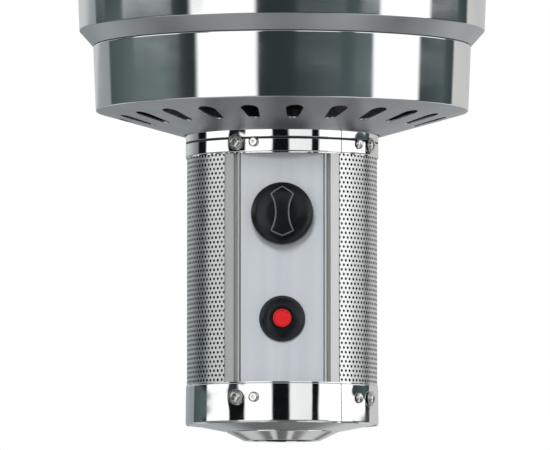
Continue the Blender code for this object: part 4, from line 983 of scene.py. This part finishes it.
PAN_WALL = 1 * MM
PAN_STEPS = 256
VENTS = 22
VENT_PHASE = 4.5
VENT_INNER = (105 * MM, 4.6 * MM)
VENT_OUTER = (121.5 * MM, 6.8 * MM)
pan_low, pan_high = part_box("pan_lower")
column_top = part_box("upper_band")[1].z
collar = band_outside + 0.8 * MM
PAN_LEAN = 2.1 * MM  # how far a wall leans in from its top to its foot
PAN_FLOOR_RISE = 19.7 * MM
pan_foot = pan_high.x - PAN_LEAN
pan_edge = pan_low.z + PAN_FLOOR_RISE
pan_line = rounded(
    [
        (pan_high.x - 11.5 * MM, pan_high.z, 0),
        (pan_high.x, pan_high.z, 0.8 * MM),
        (pan_foot, pan_edge, 1.3 * MM),
        (collar, pan_low.z, 1.2 * MM),
        (collar, column_top + 0.3 * MM, 0.8 * MM),
        (collar - 10 * MM, column_top + 0.3 * MM, 0),
    ],
    6,
)


def vent_punches():
    """The punches of all slots: two round ends of different size joined by straight sides."""
    bm = bmesh.new()
    for distance, radius in (VENT_INNER, VENT_OUTER):
        spot = Matrix.Translation((distance, 0, pan_low.z + 10 * MM))
        bmesh.ops.create_cone(
            bm, cap_ends=True, segments=32, radius1=radius, radius2=radius, depth=60 * MM, matrix=spot
        )
    hull = bmesh.ops.convex_hull(bm, input=bm.verts, use_existing_faces=False)
    spare = {item for key in ("geom_interior", "geom_unused") for item in hull[key]}
    inside = [item for item in spare if isinstance(item, bmesh.types.BMVert)]
    bmesh.ops.delete(bm, geom=inside, context="VERTS")
    bmesh.ops.dissolve_limit(bm, angle_limit=math.radians(1), verts=bm.verts, edges=bm.edges)
    first = Matrix.Rotation(math.radians(VENT_PHASE - 90), 4, "Z")
    bmesh.ops.transform(bm, matrix=first, verts=bm.verts)
    copied(bm, VENTS, lambda number: Matrix.Rotation(math.radians(360 * number / VENTS), 4, "Z"))
    return bm


shell_bm = spun(pan_line, PAN_STEPS)
lower_shell = piece("lower_pan_shell", shell_bm, polished, ["pan_lower"], wall=PAN_WALL)
shell_bm = bmesh.new()
shell_bm.from_mesh(lower_shell.data)
punched_bm = shaped(shell_bm, ("DIFFERENCE", vent_punches()))
punched_bm.to_mesh(lower_shell.data)
lower_shell.data.shade_smooth()
lower_shell.data.set_sharp_from_angle(angle=math.radians(28))


def two_finishes(obj, finish, chosen):
    """Give a second finish to the faces that a test chooses."""
    obj.data.materials.append(finish)
    for polygon in obj.data.polygons:
        if chosen(polygon.center, polygon.normal):
            polygon.material_index = 1


def in_the_floor(centre, normal):
    return centre.z < pan_edge


# The floor of the lower pan takes the satin finish with its painted shade.
two_finishes(lower_shell, satin_and_painted_shade, in_the_floor)

# ---------------------------------------------------------------------------------------------
# Upper pan: the wider tier, spun in the same way. Its foot is a broad chamfer and its rim is
# turned in. The burner's deck lies on its inner flange.

upper_low, upper_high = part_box("pan_upper")
CHAMFER_RISE = 11.7 * MM
upper_foot = upper_high.x - PAN_LEAN
upper_line = rounded(
    [
        (upper_high.x - 4.5 * MM, upper_high.z, 0),
        (upper_high.x, upper_high.z, 1.4 * MM),
        (upper_foot, upper_low.z + CHAMFER_RISE, 1.4 * MM),
        (pan_high.x + 0.3 * MM, upper_low.z, 0.8 * MM),
        (pan_high.x - 9.5 * MM, upper_low.z, 0),
    ],
    6,
)


def faces_down(centre, normal):
    return normal.z < -0.4


bm = spun(upper_line, PAN_STEPS)
upper_shell = piece("upper_pan_shell", bm, polished, ["pan_upper"], wall=PAN_WALL)
# The downward faces take the satin finish with its painted shade.
two_finishes(upper_shell, satin_and_painted_shade, faces_down)

# ---------------------------------------------------------------------------------------------
# Burner: deck, heat shield, mixing tube and burner head, all of heat-resistant steel that has
# turned straw and grey with the heat.

# Heat-tinted steel: straw to blue-grey clouds, dull where it oxidised.
heat_tinted, tree, shader = new_finish("heat_tinted_steel")
heat = noise(tree, 22, detail=6.0)
scale_grain = noise(tree, 800)
feed(
    tree,
    shader,
    Base_Color=tint(tree, between(tree, heat, 0, 1), "8E8578", "747679"),
    Metallic=1.0,
    Roughness=between(tree, scale_grain, 0.34, 0.52),
    Normal=bump(tree, scale_grain, 0.00005),
)
repaint(heat_tinted, "burner_deck", "heat_shield", "mixing_tube")

BURNER_PORTS = 36
BURNER_NECK = 17.6 * MM
burner_low, burner_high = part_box("burner_head")
burner_radius = burner_high.x
burner_line = rounded(
    [
        (0, burner_high.z, 0),
        (burner_radius - 5 * MM, burner_high.z, 3 * MM),
        (burner_radius, burner_high.z - 4 * MM, 2 * MM),
        (burner_radius, burner_low.z, 1 * MM),
        (BURNER_NECK, burner_low.z, 0),
    ]
)
ports = bmesh.new()
for number in range(BURNER_PORTS):
    for level in (0.55, 0.75):
        height = burner_low.z + (burner_high.z - burner_low.z) * level
        place = around(number * 360 / BURNER_PORTS, burner_radius, height)
        bmesh.ops.create_cone(
            ports, cap_ends=True, segments=8, radius1=1.4 * MM, radius2=1.4 * MM, depth=6 * MM, matrix=place
        )
burner_bm = spun(burner_line, 96)
bmesh.ops.solidify(burner_bm, geom=burner_bm.faces[:], thickness=1.2 * MM)
piece("burner_cup", shaped(burner_bm, ("DIFFERENCE", ports)), heat_tinted, ["burner_head"])

# ---------------------------------------------------------------------------------------------
# Gas and pilot pieces behind the panel and on the deck: brass, copper, zinc-plated pressings,
# glazed ceramic and a silicone sleeve. Their shapes are carried over.

# Machined brass, browned a little.
brass = grained(
    "machined_brass", 300, ("A98545", "C29C58"), (0.24, 0.4), 0.00003, metallic=1.0, stretch=(1, 1, 6)
)
repaint(brass, "valve_body", "valve_plug", "inlet_fitting", "injector", "pilot_burner")

# Drawn copper with a dull brown skin.
copper = grained("drawn_copper", 120, ("A5643F", "C07E58"), (0.28, 0.45), 0.00003, metallic=1.0)
repaint(copper, "inlet_pipe", "outlet_tube", "pilot_tube", "thermocouple_lead")

# Zinc plating has a faint spangle and a cool grey shine.
zinc = grained(
    "zinc_plated_steel", 260, ("A9ABA6", "C0C1BC"), (0.28, 0.46), 0.00003, metallic=1.0, detail=2.0
)
repaint(zinc, "valve_bracket", "valve_stem", "pilot_bracket", "thermocouple")
repaint(zinc, "hub_screw_1", "hub_screw_2", "hub_screw_3")
repaint(abs_black, "igniter_body", "igniter_nut", "tilt_switch")

# Glazed alumina, off-white with a soft gloss.
glaze = grained("glazed_alumina", 500, ("DAD7CB", "E6E4DB"), (0.18, 0.3), 0.00002)
repaint(glaze, "spark_electrode")

# Silicone sleeve with woven glass under it.
sleeve = grained(
    "glass_silicone_sleeve", 1100, ("9C9788", "B4B0A2"), (0.55, 0.7), 0.00008, stretch=(1, 1, 0.5)
)
repaint(sleeve, "ignition_lead")

# ---------------------------------------------------------------------------------------------
# Emitter: a tube of perforated heat-resistant steel that glows round the flame, with a pressed
# cap. Its holes are wider apart than the guard's.

EMITTER_HOLE = 3.2 * MM
EMITTER_COLUMNS = 72
EMITTER_ROWS = 22
screen_low, screen_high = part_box("emitter_screen")
emitter_radius = screen_high.x


def emitter_sheet(rows, low, high):
    """A tube of staggered round holes, each in its own square of sheet."""
    width = 2 * math.pi * emitter_radius / EMITTER_COLUMNS
    height = (high - low) / rows
    bm = bmesh.new()
    bmesh.ops.create_grid(bm, x_segments=2, y_segments=2, size=0.5)
    bmesh.ops.scale(bm, vec=(width, height, 1), verts=bm.verts)
    centre = min(bm.verts, key=lambda vert: vert.co.length)
    bmesh.ops.dissolve_verts(bm, verts=[centre])
    outer = bm.edges[:]
    bmesh.ops.delete(bm, geom=bm.faces[:], context="FACES_ONLY")
    bmesh.ops.create_circle(bm, cap_ends=False, segments=8, radius=EMITTER_HOLE)
    inner = [edge for edge in bm.edges if edge not in outer]
    bmesh.ops.bridge_loops(bm, edges=outer + inner)
    copied(bm, EMITTER_COLUMNS, lambda number: Matrix.Translation((number * width, 0, 0)))
    copied(bm, rows, lambda number: Matrix.Translation((width / 2 * (number % 2), number * height, 0)))
    for vert in bm.verts:
        turn = vert.co.x / emitter_radius
        up = low + height / 2 + vert.co.y
        vert.co = (math.sin(turn) * emitter_radius, -math.cos(turn) * emitter_radius, up)
    bmesh.ops.remove_doubles(bm, verts=bm.verts, dist=0.01 * MM)
    facing_out(bm)
    return bm


screen_bm = emitter_sheet(EMITTER_ROWS, screen_low.z, screen_high.z)
piece("emitter_tube", screen_bm, heat_tinted, ["emitter_screen"], wall=1 * MM)

cap_low, cap_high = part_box("emitter_cap")
cap_line = rounded(
    [
        (0, cap_high.z, 0),
        (cap_high.x, cap_high.z, 2 * MM),
        (cap_high.x, cap_low.z, 0),
    ],
    6,
)
piece("emitter_lid", spun(cap_line, 160), heat_tinted, ["emitter_cap"], wall=1 * MM)

# ---------------------------------------------------------------------------------------------
# Reflector: a wide dish spun from thin aluminium with a rolled rim, on three standoffs with
# dome nuts. It throws the emitter's heat down.

# Spun aluminium: fine rings from the roller under slow dull clouds.
spun_finish, tree, shader = new_finish("spun_aluminium")
centre_distance = add(tree, "ShaderNodeTexCoord").outputs["Object"]
flat = add(tree, "ShaderNodeMapping", {"Vector": centre_distance, "Scale": (1, 1, 0)})
radius_here = add(tree, "ShaderNodeVectorMath", {0: flat.outputs[0]}, operation="LENGTH").outputs["Value"]
rings = add(
    tree,
    "ShaderNodeTexNoise",
    {"W": radius_here, "Scale": 900.0, "Detail": 3.0},
    noise_dimensions="1D",
).outputs["Fac"]
dull = noise(tree, 5)
feed(
    tree,
    shader,
    Base_Color=tint(tree, rings, "C2C4C6", "D3D5D6"),
    Metallic=1.0,
    Roughness=between(tree, dull, 0.2, 0.32),
    Normal=bump(tree, rings, 0.00002),
)
REFLECTOR_STEPS = 256
dome_low, dome_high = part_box("reflector")
DOME_FLAT = 120 * MM
DOME_DROP = 84 * MM
DOME_STEPS = 24
DOME_CURVE = 1.35
RIM_ROLL = 6 * MM
rim_radius = dome_high.x - RIM_ROLL
dome_line = [Vector((0, dome_high.z)), Vector((DOME_FLAT - 4 * MM, dome_high.z))]
for step in range(DOME_STEPS + 1):
    share = step / DOME_STEPS
    radius = DOME_FLAT + (rim_radius - DOME_FLAT) * share
    dome_line.append(Vector((radius, dome_high.z - DOME_DROP * share**DOME_CURVE)))
ROLL_STEPS = 10
roll_radius = RIM_ROLL * 0.9
for step in range(1, ROLL_STEPS + 1):
    turn = math.radians(70 - 190 * step / ROLL_STEPS)
    middle = Vector((dome_high.x - roll_radius, dome_low.z + roll_radius))
    dome_line.append(middle + Vector((math.cos(turn), math.sin(turn))) * roll_radius)
dome_bm = spun(dome_line, REFLECTOR_STEPS)
piece("reflector_dish", dome_bm, spun_finish, ["reflector"], wall=0.9 * MM)
for number in (1, 2, 3):
    repaint(zinc, f"reflector_standoff_{number}")
    nut_low, nut_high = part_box(f"dome_nut_{number}")
    nut_radius = (nut_high.x - nut_low.x) / 2
    nut_height = nut_high.z - nut_low.z
    bm = bmesh.new()
    bmesh.ops.create_cone(
        bm, cap_ends=True, segments=6, radius1=nut_radius, radius2=nut_radius, depth=nut_height * 0.5
    )
    bmesh.ops.translate(bm, verts=bm.verts, vec=(0, 0, nut_height * 0.25))
    bmesh.ops.bevel(
        bm, geom=bm.edges[:], offset=0.4 * MM, affect="EDGES", segments=2, profile=0.5, material=-1
    )
    dome = bmesh.ops.create_uvsphere(bm, u_segments=24, v_segments=12, radius=nut_radius * 0.8)["verts"]
    bmesh.ops.translate(bm, verts=dome, vec=(0, 0, nut_height - nut_radius * 0.8))
    middle = (nut_low + nut_high) / 2
    bmesh.ops.translate(bm, verts=bm.verts, vec=(middle.x, middle.y, nut_low.z))
    piece(f"dome_nut_head_{number}", bm, nickel, [f"dome_nut_{number}"], sharp=28)
